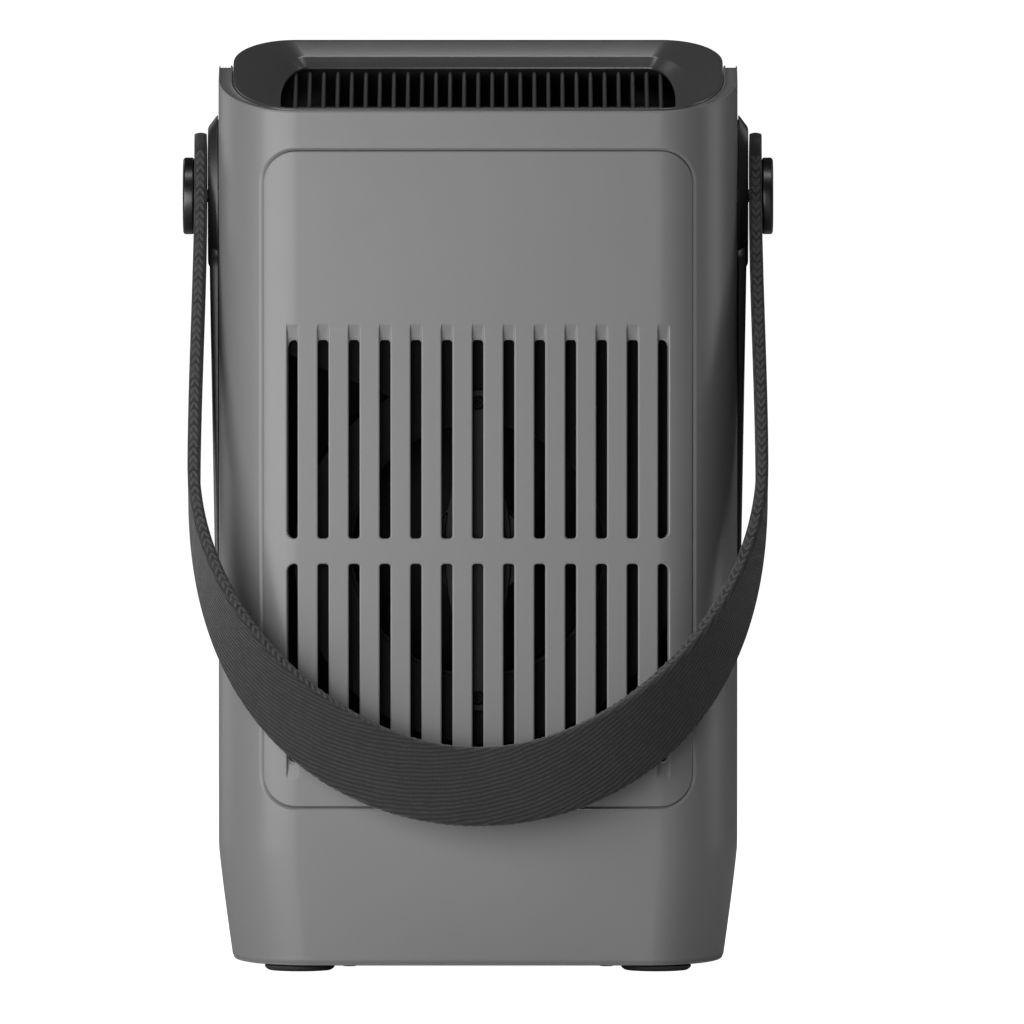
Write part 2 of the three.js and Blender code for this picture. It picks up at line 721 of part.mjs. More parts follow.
function impeller() {
  const disc = barY(wheelRadius, wheelBack - 2, wheelBack, 0, grilleHeight, 40);
  const hub = barY(6, motorBack + 3, wheelBack, 0, grilleHeight, 20);
  const inner = wheelRadius - 11;
  const shroud = cut(
    barY(wheelRadius, wheelFront, wheelFront + 1.6, 0, grilleHeight, 40),
    barY(inner, wheelFront - 1, wheelFront + 3, 0, grilleHeight, 40),
  );
  let body = join(disc, hub);
  for (let i = 0; i < bladeCount; i += 1) {
    const outline = bladeOutline((2 * Math.PI * i) / bladeCount, inner);
    body = join(body, prismY(outline, wheelFront + 0.8, wheelBack - 1));
  }
  const bore = barY(shaftRadius + clearance, -everything, wheelBack - 1, 0, grilleHeight, 12);
  return cut(join(body, shroud), bore);
}

// A blade's section, curved forward between the wheel's inner and outer radius.
function bladeOutline(turn, inner) {
  const steps = 2;
  const outer = wheelRadius - 0.6;
  const sides = [[], []];
  for (let i = 0; i <= steps; i += 1) {
    const share = i / steps;
    const radius = inner + 0.6 + (outer - inner - 0.6) * share;
    const angle = turn + 0.16 * share * share;
    const half = bladeThickness / 2 / radius;
    sides[0].push([radius * Math.cos(angle - half), grilleHeight + radius * Math.sin(angle - half)]);
    sides[1].unshift([radius * Math.cos(angle + half), grilleHeight + radius * Math.sin(angle + half)]);
  }
  return polygon([...sides[0], ...sides[1]]);
}

function motorShaft() {
  return barY(shaftRadius, frontBearing + 0.2, wheelBack - 1 - clearance, 0, grilleHeight, 12);
}

// ---- battery ----
const cellPoints = fourCorners.map(([right, row]) => [right * (cellLength / 2 + 1.5), (row * cellRowPitch) / 2]);

function batteryCell([x, y]) {
  const body = barX(cellRadius, x - cellLength / 2, x + cellLength / 2, y, cellHeight, 28);
  const end = x + cellLength / 2;
  return join(body, barX(3, end - 0.1, end + 0.8, y, cellHeight, 16));
}

function batteryCradle() {
  const halfX = cellLength + 4;
  const halfY = cellRowPitch / 2 + cellRadius + 2;
  const bottom = plateTop + clearance;
  let body = block(-halfX, halfX, -halfY, halfY, bottom, cellHeight);
  for (const row of [-1, 1]) {
    const middle = (row * cellRowPitch) / 2;
    const trough = barX(cellRadius + clearance, -halfX + 1, halfX - 1, middle, cellHeight, 28);
    body = cut(body, trough);
  }
  for (const [x, y] of baseScrewPoints) body = cut(body, barZ(4, 0, 60, x, y, 12));
  for (const { x, y } of footPoints) body = cut(body, barZ(stemRadius + 1, 0, plateTop + 2, x, y, 12));
  return body;
}

// ---- electronics and controls ----
function controlBoard() {
  const half = boardWidth / 2;
  const sheet = block(-half, half, boardY, boardY + boardThickness, boardBase, boardBase + boardHeight);
  let body = sheet;
  for (const z of [powerHeight, speedHeight]) {
    const post = block(-3, 3, boardY + boardThickness - 0.1, boardY + 5, z - 3, z + 3);
    body = join(body, post);
  }
  const chip = block(-20, -8, boardY + boardThickness - 0.1, boardY + 3, boardBase + 8, boardBase + 20);
  const coil = barY(5, boardY + boardThickness - 0.1, boardY + 6, 16, boardBase + 14, 20);
  return join(body, chip, coil);
}

function controlButton(z) {
  const face = bodyBack + controlProud;
  const cap = barY(controlRadius, bodyBack - rearWall - 0.4, face, 0, z, 20);
  const flangeBack = bodyBack - rearWall - 2 * clearance;
  const flange = barY(controlRadius + 1.2, flangeBack - 1.2, flangeBack, 0, z, 20);
  const stem = barY(2, boardY + 5 + controlTravel + clearance, bodyBack - rearWall, 0, z, 10);
  return join(cap, flange, stem);
}

function chargingSocket() {
  const halfX = socketWidth / 2;
  const halfZ = socketTall / 2;
  const front = bodyBack - 9;
  const body = block(-halfX, halfX, front, bodyBack - 0.4, socketHeight - halfZ, socketHeight + halfZ);
  const inner = { x: halfX - 0.5, z: halfZ - 0.5 };
  const bore = block(-inner.x, inner.x, front + 2, everything, socketHeight - inner.z, socketHeight + inner.z);
  const tongueX = halfX - 1.6;
  const tongue = block(-tongueX, tongueX, front + 1.5, bodyBack - 1.4, socketHeight - 0.35, socketHeight + 0.35);
  return join(cut(body, bore), tongue);
}

// ---- fasteners ----
function caseScrew([x, z]) {
  const seat = bodyBack - 8 + clearance;
  const shank = barY(screwRadius, housingBack - 7, seat + 0.1, x, z, 8);
  return join(shank, barY(screwHeadRadius, seat, seat + screwHeadHeight, x, z, 12));
}

function carrierScrew([x, z]) {
  const seat = carrierFront - clearance;
  const shank = barY(screwRadius, seat - 0.1, inletBack + 0.2, x, z, 8);
  return join(shank, barY(screwHeadRadius - 0.6, seat - 1.2, seat, x, z, 12));
}

function baseScrew([x, y]) {
  const seat = plateBottom - clearance;
  const shank = barZ(screwRadius, seat - 0.1, plateTop + 4, x, y, 8);
  return join(shank, barZ(screwHeadRadius, seat - 1.4, seat, x, y, 12));
}

// ---- the assembly ----
const lightGrey = 0xb4b4b6;
const darkGrey = 0x34353a;
const black = 0x0c0c0e;
const steel = 0x9a9ca0;

add('front_shell', frontShell(), lightGrey, 0.38);
add('front_grille', frontGrille(), lightGrey, 0.38);
add('rear_shell', rearShell(), darkGrey, 0.45);
add('top_collar', topCollar(), darkGrey, 0.4);
add('outlet_vanes', outletVanes(), darkGrey, 0.35);
add('base_plate', basePlate(), darkGrey, 0.55);
for (const place of footPoints) add(place.name, foot(place), black, 0.8);

for (const [side, name] of [[-1, 'left'], [1, 'right']]) {
  add(`side_plate_${name}`, sidePlate(side), darkGrey, 0.3);
  add(`strap_button_${name}`, strapButton(side), steel, 0.3, 1);
  add(`pivot_bush_${name}`, pivotBush(side), black, 0.5);
  add(`pivot_screw_${name}`, pivotScrew(side), steel, 0.4, 1);
}
add('strap', strapBody(), darkGrey, 0.9);

add('fan_housing', fanHousing(), black, 0.5);
add('inlet_plate', inletPlate(), black, 0.5);
add('motor_carrier', motorCarrier(), black, 0.4);
add('motor_can', motorCan(), steel, 0.35, 1);
add('motor_endcap', motorEndcap(), black, 0.5);
add('motor_rotor', motorRotor(), steel, 0.5, 1);
add('motor_shaft', motorShaft(), steel, 0.25, 1);
add('bearing_front', bearing(frontBearing), steel, 0.3, 1);
add('bearing_rear', bearing(backBearing), steel, 0.3, 1);
add('impeller', impeller(), black, 0.45);

cellPoints.forEach((place, i) => add(`battery_cell_${i + 1}`, batteryCell(place), 0x2f5f8f, 0.4));
add('battery_cradle', batteryCradle(), black, 0.6);
add('control_board', controlBoard(), 0x1f5a35, 0.5);
add('power_button', controlButton(powerHeight), darkGrey, 0.4);
add('speed_button', controlButton(speedHeight), darkGrey, 0.4);
add('charging_socket', chargingSocket(), steel, 0.3, 1);

casePoints.forEach((place, i) => add(`case_screw_${i + 1}`, caseScrew(place), steel, 0.35, 1));
carrierScrewPoints.forEach((place, i) => add(`carrier_screw_${i + 1}`, carrierScrew(place), steel, 0.35, 1));
baseScrewPoints.forEach((place, i) => add(`base_screw_${i + 1}`, baseScrew(place), steel, 0.35, 1));

// The origin is the middle of the whole part's base, strap included.
const extent = new THREE.Box3().setFromObject(group);
group.position.y = -(extent.min.y + extent.max.y) / 2;

export default group;
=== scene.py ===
import math

import bmesh
import bpy
import numpy as np
from mathutils import Euler, Matrix, Vector
from mathutils.geometry import delaunay_2d_cdt


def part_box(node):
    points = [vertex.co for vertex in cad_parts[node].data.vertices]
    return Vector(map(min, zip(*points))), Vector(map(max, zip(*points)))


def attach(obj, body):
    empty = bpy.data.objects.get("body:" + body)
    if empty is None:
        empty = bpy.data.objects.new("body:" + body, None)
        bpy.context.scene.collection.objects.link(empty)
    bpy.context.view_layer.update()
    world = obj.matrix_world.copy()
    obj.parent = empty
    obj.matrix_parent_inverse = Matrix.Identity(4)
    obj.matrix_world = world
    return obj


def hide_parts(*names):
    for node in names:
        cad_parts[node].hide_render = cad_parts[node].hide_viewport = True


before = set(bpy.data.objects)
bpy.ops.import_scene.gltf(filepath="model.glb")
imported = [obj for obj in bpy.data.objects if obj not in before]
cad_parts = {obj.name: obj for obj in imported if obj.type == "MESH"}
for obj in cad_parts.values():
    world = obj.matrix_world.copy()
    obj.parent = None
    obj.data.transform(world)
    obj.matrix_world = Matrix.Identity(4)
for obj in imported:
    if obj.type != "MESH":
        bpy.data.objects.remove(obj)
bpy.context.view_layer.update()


def box(node):
    low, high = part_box(node)
    return np.array(low) * 1000, np.array(high) * 1000


# ---- sizes read from the frame ----
fit = 0.3  # gap between pieces that touch
front_low, front_high = box("front_shell")
_, rear_high = box("rear_shell")
_, collar_high = box("top_collar")
panel_low, panel_high = box("front_grille")
disc_low, disc_high = box("strap_button_right")
plate_low, plate_high = box("side_plate_right")
middle_y = (front_low[1] + rear_high[1] + fit) / 2

half_width = front_high[0]
half_depth = rear_high[1] + fit - middle_y
split_y = front_high[1] - middle_y
floor_z = front_low[2]
rim_slope = (collar_high[2] - front_high[2]) / (collar_high[1] - front_high[1])
pivot_y = (disc_low[1] + disc_high[1]) / 2 - middle_y
pivot_z = (disc_low[2] + disc_high[2]) / 2
slots_z = sum(box("motor_shaft")[0][2::3] + box("motor_shaft")[1][2::3]) / 2


def rim(y):
    """Height of the slanted rim at a depth."""
    return front_high[2] + rim_slope * (y - split_y)


# ---- sizes of the mouldings ----
front_wall, side_wall, rear_wall = 2.6, 4.4, 2.6
nose = (25.0, 40.0)  # the light shell's corners, across and along
tail = (19.0, 28.0)  # the dark shell's corners
taper_top, taper_inset = 37.7, 4.2
core_half = half_width - side_wall


def draw_in(z):
    """How far the sides and the faces have drawn in at a height."""
    share = np.clip((taper_top - z) / (taper_top - floor_z - 2), 0, 1)
    hem = np.clip((floor_z + 2 - z) / 2, 0, 1)
    turned = 1 - np.sqrt(np.clip(1 - hem ** 2, 0, 1))
    return taper_inset * share ** 1.15 + 1.8 * turned, 1.7 * turned


class Skin:
    """A casing wall: t runs round it from the middle of its face, z goes up, and depth goes into it."""

    def __init__(self, facing, face, half, corner, walls):
        self.facing, self.face, self.half, self.corner, self.walls = facing, face, half, corner, walls
        self.turn_x = half - corner[0]
        self.turn_y = face - corner[1]
        self.radius = sum(corner) / 2
        self.bend = self.turn_x + self.radius * math.pi / 2

    def along(self, x):
        """t of a point on the face or the corner, from its place across."""
        x = np.asarray(x, float)
        share = np.clip((np.abs(x) - self.turn_x) / self.corner[0], 0, 1)
        return np.sign(x) * (np.minimum(np.abs(x), self.turn_x) + self.radius * np.arcsin(share))

    def side(self, y):
        """t of a point on the side, from its place along."""
        return self.bend + self.turn_y - self.facing * y

    def thickness(self, t):
        angle = np.clip((np.abs(t) - self.turn_x) / self.radius, 0, math.pi / 2)
        return np.hypot(self.walls[0] * np.cos(angle), self.walls[1] * np.sin(angle))

    def at(self, t, z, depth=0.0):
        t, z = np.asarray(t, float), np.asarray(z, float)
        share = depth / self.thickness(t)
        reach = np.abs(t)
        angle = np.clip((reach - self.turn_x) / self.radius, 0, math.pi / 2)
        across = np.minimum(reach, self.turn_x) + (self.corner[0] - share * self.walls[1]) * np.sin(angle)
        along = self.turn_y + (self.corner[1] - share * self.walls[0]) * np.cos(angle)
        along = along - np.maximum(reach - self.bend, 0)
        side, face = draw_in(z)
        x = np.sign(t) * across * (1 - side / half_width)
        y = self.facing * along * (1 - face / half_depth)
        return np.stack([x, y, z + 0 * x], axis=-1)

    def normal(self, t, z):
        step = 0.05
        around = self.at(t + step, z) - self.at(t - step, z)
        up = self.at(t, z + step) - self.at(t, z - step)
        out = np.cross(around, up) * (-self.facing)
        return out / np.linalg.norm(out, axis=-1, keepdims=True)


front_skin = Skin(-1, half_depth, half_width, nose, (front_wall, side_wall))
rear_skin = Skin(1, half_depth - fit, core_half - fit, (tail[0] - fit, tail[1] - fit), (rear_wall, rear_wall))


# ---- meshes ----
class Shape:
    """A closed surface in the making: rings of points joined by faces."""

    def __init__(self):
        self.points, self.normals, self.faces = [], [], []

    def ring(self, points, normals=None):
        start = len(self.points)
        points = np.asarray(points, float)
        self.points.extend(points)
        self.normals.extend(np.zeros_like(points) if normals is None else normals)
        return list(range(start, start + len(points)))

    def band(self, first, second, closed=True):
        count = len(first)
        for i in range(count if closed else count - 1):
            j = (i + 1) % count
            self.faces.append((first[i], first[j], second[j], second[i]))

    def bands(self, rings, closed=True):
        for first, second in zip(rings, rings[1:]):
            self.band(first, second, closed)

    def loft(self, rings, ends=True):
        rows = [self.ring(ring) for ring in rings]
        self.bands(rows)
        if ends:
            self.faces.append(tuple(rows[0]))
            self.faces.append(tuple(rows[-1]))
        return rows

    def patch(self, outer, holes, loose, place):
        """Fills between the outer loop and the holes, each (ids, flat points); loose points join in."""
        loops = [outer, *holes]
        flat = np.concatenate([np.asarray(points, float) for _, points in loops])
        ids = [i for names, _ in loops for i in names]
        edges, start = [], 0
        for names, _ in loops:
            edges += [(start + i, start + (i + 1) % len(names)) for i in range(len(names))]
            start += len(names)
        inside = within(loose, outer[1]) & clear_of(loose, flat, 0.7)
        for _, hole in holes:
            inside &= ~within(loose, hole)
        loose = loose[inside]
        ids += self.ring(*place(loose))
        every = [Vector(point) for point in np.concatenate([flat, loose])]
        corners, _, triangles, origin, _, _ = delaunay_2d_cdt(every, edges, [], 0, 1e-6)
        middles = np.array([[sum(corners[i][axis] for i in face) / 3 for axis in (0, 1)]
                            for face in triangles])
        keep = within(middles, outer[1])
        for _, hole in holes:
            keep &= ~within(middles, hole)
        for face, kept in zip(triangles, keep):
            if kept:
                self.faces.append(tuple(ids[origin[i][0]] for i in face))


def within(points, loop):
    """Which flat points lie inside a loop."""
    points, loop = np.asarray(points, float), np.asarray(loop, float)
    inside = np.zeros(len(points), bool)
    for start, end in zip(loop, np.roll(loop, -1, axis=0)):
        if start[1] != end[1]:
            spans = (start[1] > points[:, 1]) != (end[1] > points[:, 1])
            crossing = start[0] + (points[:, 1] - start[1]) * (end[0] - start[0]) / (end[1] - start[1])
            inside ^= spans & (points[:, 0] < crossing)
    return inside


def clear_of(points, others, gap):
    """Which flat points are at least a gap from all the others."""
    if len(points) == 0:
        return np.zeros(0, bool)
    return np.array([np.min(np.hypot(*(others - point).T)) > gap for point in points])


def build(name, shape, crease=32):
    """A mesh object from a shape, its faces turned outwards and its edges over the crease angle sharp."""
    mesh = bpy.data.meshes.new(name)
    points = (np.array(shape.points) + (0, middle_y, 0)) / 1000
    mesh.from_pydata(points.tolist(), [], shape.faces)
    body = bmesh.new()
    body.from_mesh(mesh)
    bmesh.ops.recalc_face_normals(body, faces=body.faces)
    if body.calc_volume(signed=True) < 0:
        bmesh.ops.reverse_faces(body, faces=body.faces)
    body.to_mesh(mesh)
    body.free()
    mesh.polygons.foreach_set("use_smooth", [True] * len(mesh.polygons))
    mesh.set_sharp_from_angle(angle=math.radians(crease))
    if np.any(shape.normals):
        mesh.normals_split_custom_set_from_vertices([tuple(normal) for normal in shape.normals])
    piece = bpy.data.objects.new(name, mesh)
    bpy.context.scene.collection.objects.link(piece)
    return piece


def finish(piece, material, slot, body, *nodes):
    """Gives a piece its finish, its body and the CAD nodes that it stands for."""
    if not any(piece.data.materials):
        piece.data.materials.clear()
        piece.data.materials.append(material)
    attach(piece, body)
    if nodes:
        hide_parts(*nodes)
    return piece


def settle(piece):
    """The piece with its modifiers worked into its mesh."""
    bpy.context.view_layer.update()
    graph = bpy.context.evaluated_depsgraph_get()
    mesh = bpy.data.meshes.new_from_object(piece.evaluated_get(graph), preserve_all_data_layers=True,
                                           depsgraph=graph)
    piece.modifiers.clear()
    piece.data = mesh
    mesh.name = piece.name
    return piece


def soften(piece, width, steps=3, angle=28):
    """Rounds the edges of a piece with live bevels, in millimetres."""
    edge = piece.modifiers.new("edge", "BEVEL")
    edge.width = width / 1000
    edge.segments = steps
    edge.limit_method = "ANGLE"
    edge.angle_limit = math.radians(angle)
    edge.harden_normals = True
    edge.miter_outer = "MITER_ARC"
    return piece


def carve(piece, tool, operation="DIFFERENCE"):
    """Cuts or joins with another object, which is then removed."""
    step = piece.modifiers.new(operation.lower(), "BOOLEAN")
    step.operation = operation
    step.solver = "MANIFOLD"
    step.object = tool
    settle(piece)
    bpy.data.objects.remove(tool)
    return piece


# ---- outlines ----
def sweep(start, end, steps):
    return np.radians(np.linspace(start, end, steps + 1))


def rounded_rectangle(x0, x1, z0, z1, corner, steps=10, level=(40, 60)):
    """A loop that starts at the bottom edge's left end, with evenly spaced points on its straight edges."""
    points = []
    ends = [((x1 - corner, z0 + corner), -90), ((x1 - corner, z1 - corner), 0),
            ((x0 + corner, z1 - corner), 90), ((x0 + corner, z0 + corner), 180)]
    starts = [(x0 + corner, z0), (x1, z0 + corner), (x1 - corner, z1), (x0, z1 - corner)]
    for ((cx, cz), turn), start, count in zip(ends, starts, [level[0], level[1]] * 2):
        arc = sweep(turn, turn + 90, steps)
        bend = np.stack([cx + corner * np.cos(arc), cz + corner * np.sin(arc)], axis=-1)
        shares = np.linspace(0, 1, count + 1)[:-1, None]
        points += [np.array(start) * (1 - shares) + bend[0] * shares, bend[:-1]]
    return np.concatenate(points)


def plan(half, front, back, nose_corner, tail_corner, height, steps=16):
    """The casing seen from above: straight sides and faces joined by elliptical corners, as a ring."""
    rings = []
    for turn, sign_x, base, corner in [(-90, 1, front, nose_corner), (0, 1, back, tail_corner),
                                       (90, -1, back, tail_corner), (180, -1, front, nose_corner)]:
        arc = sweep(turn, turn + 90, steps)
        middle = (sign_x * (half - corner[0]), base + corner[1] * (1 if base < 0 else -1))
        rings.append(np.stack([middle[0] + corner[0] * np.cos(arc),
                               middle[1] + corner[1] * np.sin(arc)], axis=-1))
    flat = np.concatenate(rings)
    return np.column_stack([flat, height(flat[:, 1])])


def eased(rings, radius, steps=3):
    """A stack of rings with each turn of its profile rounded."""
    made = [rings[0]]
    for before, here, after in zip(rings, rings[1:], rings[2:]):
        back, on = before - here, after - here
        back_length = np.linalg.norm(back, axis=1, keepdims=True)
        on_length = np.linalg.norm(on, axis=1, keepdims=True)
        reach = np.minimum(radius, 0.45 * np.minimum(back_length, on_length))
        start, end = here + back / back_length * reach, here + on / on_length * reach
        for share in np.linspace(0, 1, steps + 1):
            made.append((1 - share) ** 2 * start + 2 * share * (1 - share) * here + share ** 2 * end)
    return [*made, rings[-1]]


def turned(profile, axis, sides=64, rounding=0.3, steps=3):
    """Rings of a turned piece: profile pairs are (radius, place along the axis); axis is 'x', 'y' or 'z'."""
    angles = np.arange(sides) * 2 * math.pi / sides
    order = {"x": (2, 0, 1), "y": (0, 2, 1), "z": (0, 1, 2)}[axis]
    rings = []
    for radius, place in profile:
        ring = np.column_stack([radius * np.cos(angles), radius * np.sin(angles),
                                np.full(sides, float(place))])
        rings.append(ring[:, order])
    return eased(rings, rounding, steps)


# ---- finishes ----
class Value:
    """A shader value that can be written into sums."""

    def __init__(self, finish_tree, socket):
        self.owner, self.socket = finish_tree, socket

    def math(self, operation, *others):
        return self.owner.node("ShaderNodeMath", {"operation": operation}, [self, *others])

    def turned_math(self, operation, first):
        return self.owner.node("ShaderNodeMath", {"operation": operation}, [first, self])

    def __add__(self, other):
        return self.math("ADD", other)

    def __radd__(self, other):
        return self.math("ADD", other)

    def __sub__(self, other):
        return self.math("SUBTRACT", other)

    def __rsub__(self, other):
        return self.turned_math("SUBTRACT", other)

    def __mul__(self, other):
        return self.math("MULTIPLY", other)

    def __rmul__(self, other):
        return self.math("MULTIPLY", other)

    def __truediv__(self, other):
        return self.math("DIVIDE", other)

    def __rtruediv__(self, other):
        return self.turned_math("DIVIDE", other)

    def __pow__(self, other):
        return self.math("POWER", other)

    def __gt__(self, other):
        return self.math("GREATER_THAN", other)

    def __lt__(self, other):
        return self.math("LESS_THAN", other)


class Finish:
    """A procedural material in the making."""

    def __init__(self, name):
        self.material = bpy.data.materials.new(name)
        self.material.use_nodes = True
        self.tree = self.material.node_tree
        self.surface = self.tree.nodes["Principled BSDF"]
        self.coordinates = self.tree.nodes.new("ShaderNodeTexCoord")

    def node(self, kind, settings=None, inputs=(), output=0):
        """Adds a node: its settings first, then the values or links of its sockets."""
        made = self.tree.nodes.new(kind)
        for key, value in (settings or {}).items():
            if key == "stops":
                stops = made.color_ramp.elements
                for index, (place, colour) in enumerate(value):
                    stop = stops[index] if index < len(stops) else stops.new(place)
                    stop.position, stop.color = place, colour
            else:
                setattr(made, key, value)
        pairs = inputs.items() if isinstance(inputs, dict) else enumerate(inputs)
        for key, value in pairs:
            self.feed(made.inputs[key], value)
        return Value(self, made.outputs[output])

    def feed(self, socket, value):
        if isinstance(value, Value):
            self.tree.links.new(value.socket, socket)
        else:
            socket.default_value = value

    def place(self, scale=(1, 1, 1), turn=(0, 0, 0), kind="Object"):
        source = Value(self, self.coordinates.outputs[kind])
        return self.node("ShaderNodeMapping", None, {"Vector": source, "Scale": scale, "Rotation": turn})

    def noise(self, scale, detail=3, where=None, rough=0.5):
        where = where or self.place()
        return self.node("ShaderNodeTexNoise", None,
                         {"Vector": where, "Scale": scale, "Detail": detail, "Roughness": rough})

    def grains(self, scale, where=None):
        return self.node("ShaderNodeTexVoronoi", None, {"Vector": where or self.place(), "Scale": scale})

    def split(self, vector):
        made = self.node("ShaderNodeSeparateXYZ", None, [vector])
        return [Value(self, output) for output in made.socket.node.outputs]

    def blend(self, share, first, second):
        """A mix of two colours."""
        made = self.node("ShaderNodeMix", {"data_type": "RGBA"})
        sockets = made.socket.node.inputs
        self.feed(sockets[0], share)
        self.feed(sockets[6], first)
        self.feed(sockets[7], second)
        return Value(self, made.socket.node.outputs[2])

    def ramp(self, value, low, high):
        return self.node("ShaderNodeMapRange", {"interpolation_type": "SMOOTHSTEP"},
                         {"Value": value, "From Min": low, "From Max": high})

    def edges(self, low=0.51, high=0.56):
        """How much a spot stands out, from the mesh's own curvature."""
        made = self.node("ShaderNodeNewGeometry")
        return self.ramp(Value(self, made.socket.node.outputs["Pointiness"]), low, high)

    def bump(self, height, distance, strength=1.0):
        made = self.node("ShaderNodeBump", None,
                         {"Strength": strength, "Distance": distance, "Height": height})
        self.feed(self.surface.inputs["Normal"], made)

    def set(self, **sockets):
        for key, value in sockets.items():
            self.feed(self.surface.inputs[key.replace("_", " ")], value)
        return self.material


def grey(level, tint=0.0):
    return (level, level, level * (1 + tint), 1)


def moulded(name, colour, roughness, grain=0.35, grain_depth=0.012, wear_and_highlight=0.25, sheen=0.5):
    """Moulded plastic: spark-eroded grain, slight flow marks, handling gloss, and convex edges painted paler,
    partly as wear and partly as a painted highlight.
    """
    made = Finish(name)
    flow = made.noise(14, 4)
    smudge = made.ramp(made.noise(38, 5, rough=0.6), 0.45, 0.75)
    pits = made.grains(1000 / grain)
    fine = made.noise(2600 / grain, 2)
    base = made.blend(flow, grey(colour * 0.94, 0.01), grey(colour * 1.05, 0.02))
    # convex edges painted paler by the curvature mask: partly edge wear, partly a painted highlight
    base = made.blend(made.edges() * wear_and_highlight, base, grey(min(1, colour * 1.6 + 0.02), 0.01))
    made.bump(pits * 0.6 + fine * 0.4, grain_depth / 1000, 0.6)
    made.set(Base_Color=base, Roughness=roughness + smudge * 0.06 + (flow - 0.5) * 0.08)
    return made.set(Specular_IOR_Level=sheen)


def metal(name, colour, roughness, rings=None, centre=(0, 0, 0)):
    """Metal with fine tool marks: turned rings about an X axis, or a brushed grain; convex edges painted
    paler, partly as wear and partly as a painted highlight.
    """
    made = Finish(name)
    if rings:
        where = made.node("ShaderNodeMapping", None, {
            "Vector": Value(made, made.coordinates.outputs["Object"]),
            "Location": tuple(-c for c in centre)})
        _, along, up = made.split(where)
        distance = (along * along + up * up) ** 0.5
        marks = (distance * (2 * math.pi * rings)).math("SINE") * 0.5 + 0.5
    else:
        marks = made.noise(900, 2, made.place((1, 0.06, 1)))
    smear = made.noise(60, 4)
    base = made.blend(smear, grey(colour * 0.85, 0.03), grey(colour * 1.1, 0.02))
    # convex edges painted paler by the curvature mask: partly edge wear, partly a painted highlight
    base = made.blend(made.edges() * 0.5, base, grey(min(1, colour * 1.9), 0.01))
    made.bump(marks * 0.5 + made.noise(4000, 2) * 0.5, 0.000006, 0.5)
    made.set(Base_Color=base, Roughness=roughness + smear * 0.1 + marks * 0.06)
    return made.set(Metallic=1.0)


def rubber(name, colour):
    """Matte rubber with a dusty bloom."""
    made = Finish(name)
    dust = made.ramp(made.noise(90, 5, rough=0.7), 0.5, 0.8)
    base = made.blend(dust * 0.5, grey(colour), grey(colour * 2.6))
    made.bump(made.noise(2200, 3) + made.grains(1200) * 0.5, 0.00002, 0.6)
    return made.set(Base_Color=base, Roughness=0.78 + dust * 0.15)


def webbing_weave(name, colour):
    """Ribbed webbing: wavering floats along the strap's own length (u) and width (v), in millimetres."""
    made = Finish(name)
    length, width, _ = made.split(made.node("ShaderNodeUVMap", {"uv_map": "weave"}))
    sway = made.noise(120, 3)
    warp = (width * (2 * math.pi / 1.3) - length * (2 * math.pi / 7) + sway * 6.0).math("SINE") * 0.5 + 0.5
    weft = (length * (2 * math.pi / 0.8) + width * 1.6 + sway * 4.0).math("SINE") * 0.5 + 0.5
    broken = made.ramp(made.noise(420, 3), 0.35, 0.65)
    fuzz = made.noise(3000, 3)
    worn = made.ramp(made.noise(45, 4), 0.4, 0.75)
    yarn = warp * (0.5 + broken * 0.3) + weft * 0.2
    base = made.blend(yarn * 0.8 + fuzz * 0.2, grey(colour * 0.45, 0.03), grey(colour * 1.6, 0.03))
    base = made.blend(worn * 0.2, base, grey(colour * 1.5, 0.02))
    made.bump(yarn + fuzz * 0.35, 0.00025, 0.9)
    made.set(Base_Color=base, Roughness=0.82 + fuzz * 0.12)
    return made.set(Specular_IOR_Level=0.25, Sheen_Weight=0.15)


def yarn(name, colour):
    """Plain braid yarn: twisted plies with stray fuzz."""
    made = Finish(name)
    fuzz = made.noise(2600, 4)
    plies = made.noise(900, 2, made.place((1, 1, 0.4)))
    base = made.blend(plies, grey(colour * 0.7, 0.03), grey(colour * 1.35, 0.02))
    made.bump(fuzz + plies, 0.00012, 0.7)
    made.set(Base_Color=base, Roughness=0.8 + fuzz * 0.15)
    return made.set(Specular_IOR_Level=0.25, Sheen_Weight=0.2)


def cell_sleeve():
    """Shrink sleeve on a battery cell, with fine wrinkles across it."""
    made = Finish("cell_sleeve")
    wrinkle = made.noise(260, 3, made.place((0.3, 1, 1)))
    base = made.blend(made.noise(30, 3), (0.02, 0.1, 0.26, 1), (0.05, 0.17, 0.36, 1))
    made.bump(wrinkle, 0.00006, 0.5)
    return made.set(Base_Color=base, Roughness=0.28 + wrinkle * 0.2)


def circuit_board():
    """Solder mask with traces and pads showing through it."""
    made = Finish("solder_mask")
    x, _, z = made.split(made.place())
    traces = ((x * 2400).math("SINE") * (z * 1700).math("SINE")) > 0.35
    pads = made.grains(420) < 0.16
    base = made.blend(traces * 0.5, (0.008, 0.07, 0.025, 1), (0.03, 0.2, 0.07, 1))
    base = made.blend(pads * 0.8, base, (0.55, 0.5, 0.4, 1))
    made.bump(traces * 1.0 + pads * 0.5, 0.00004, 0.5)
    return made.set(Base_Color=base, Roughness=0.35 + made.noise(300) * 0.15)


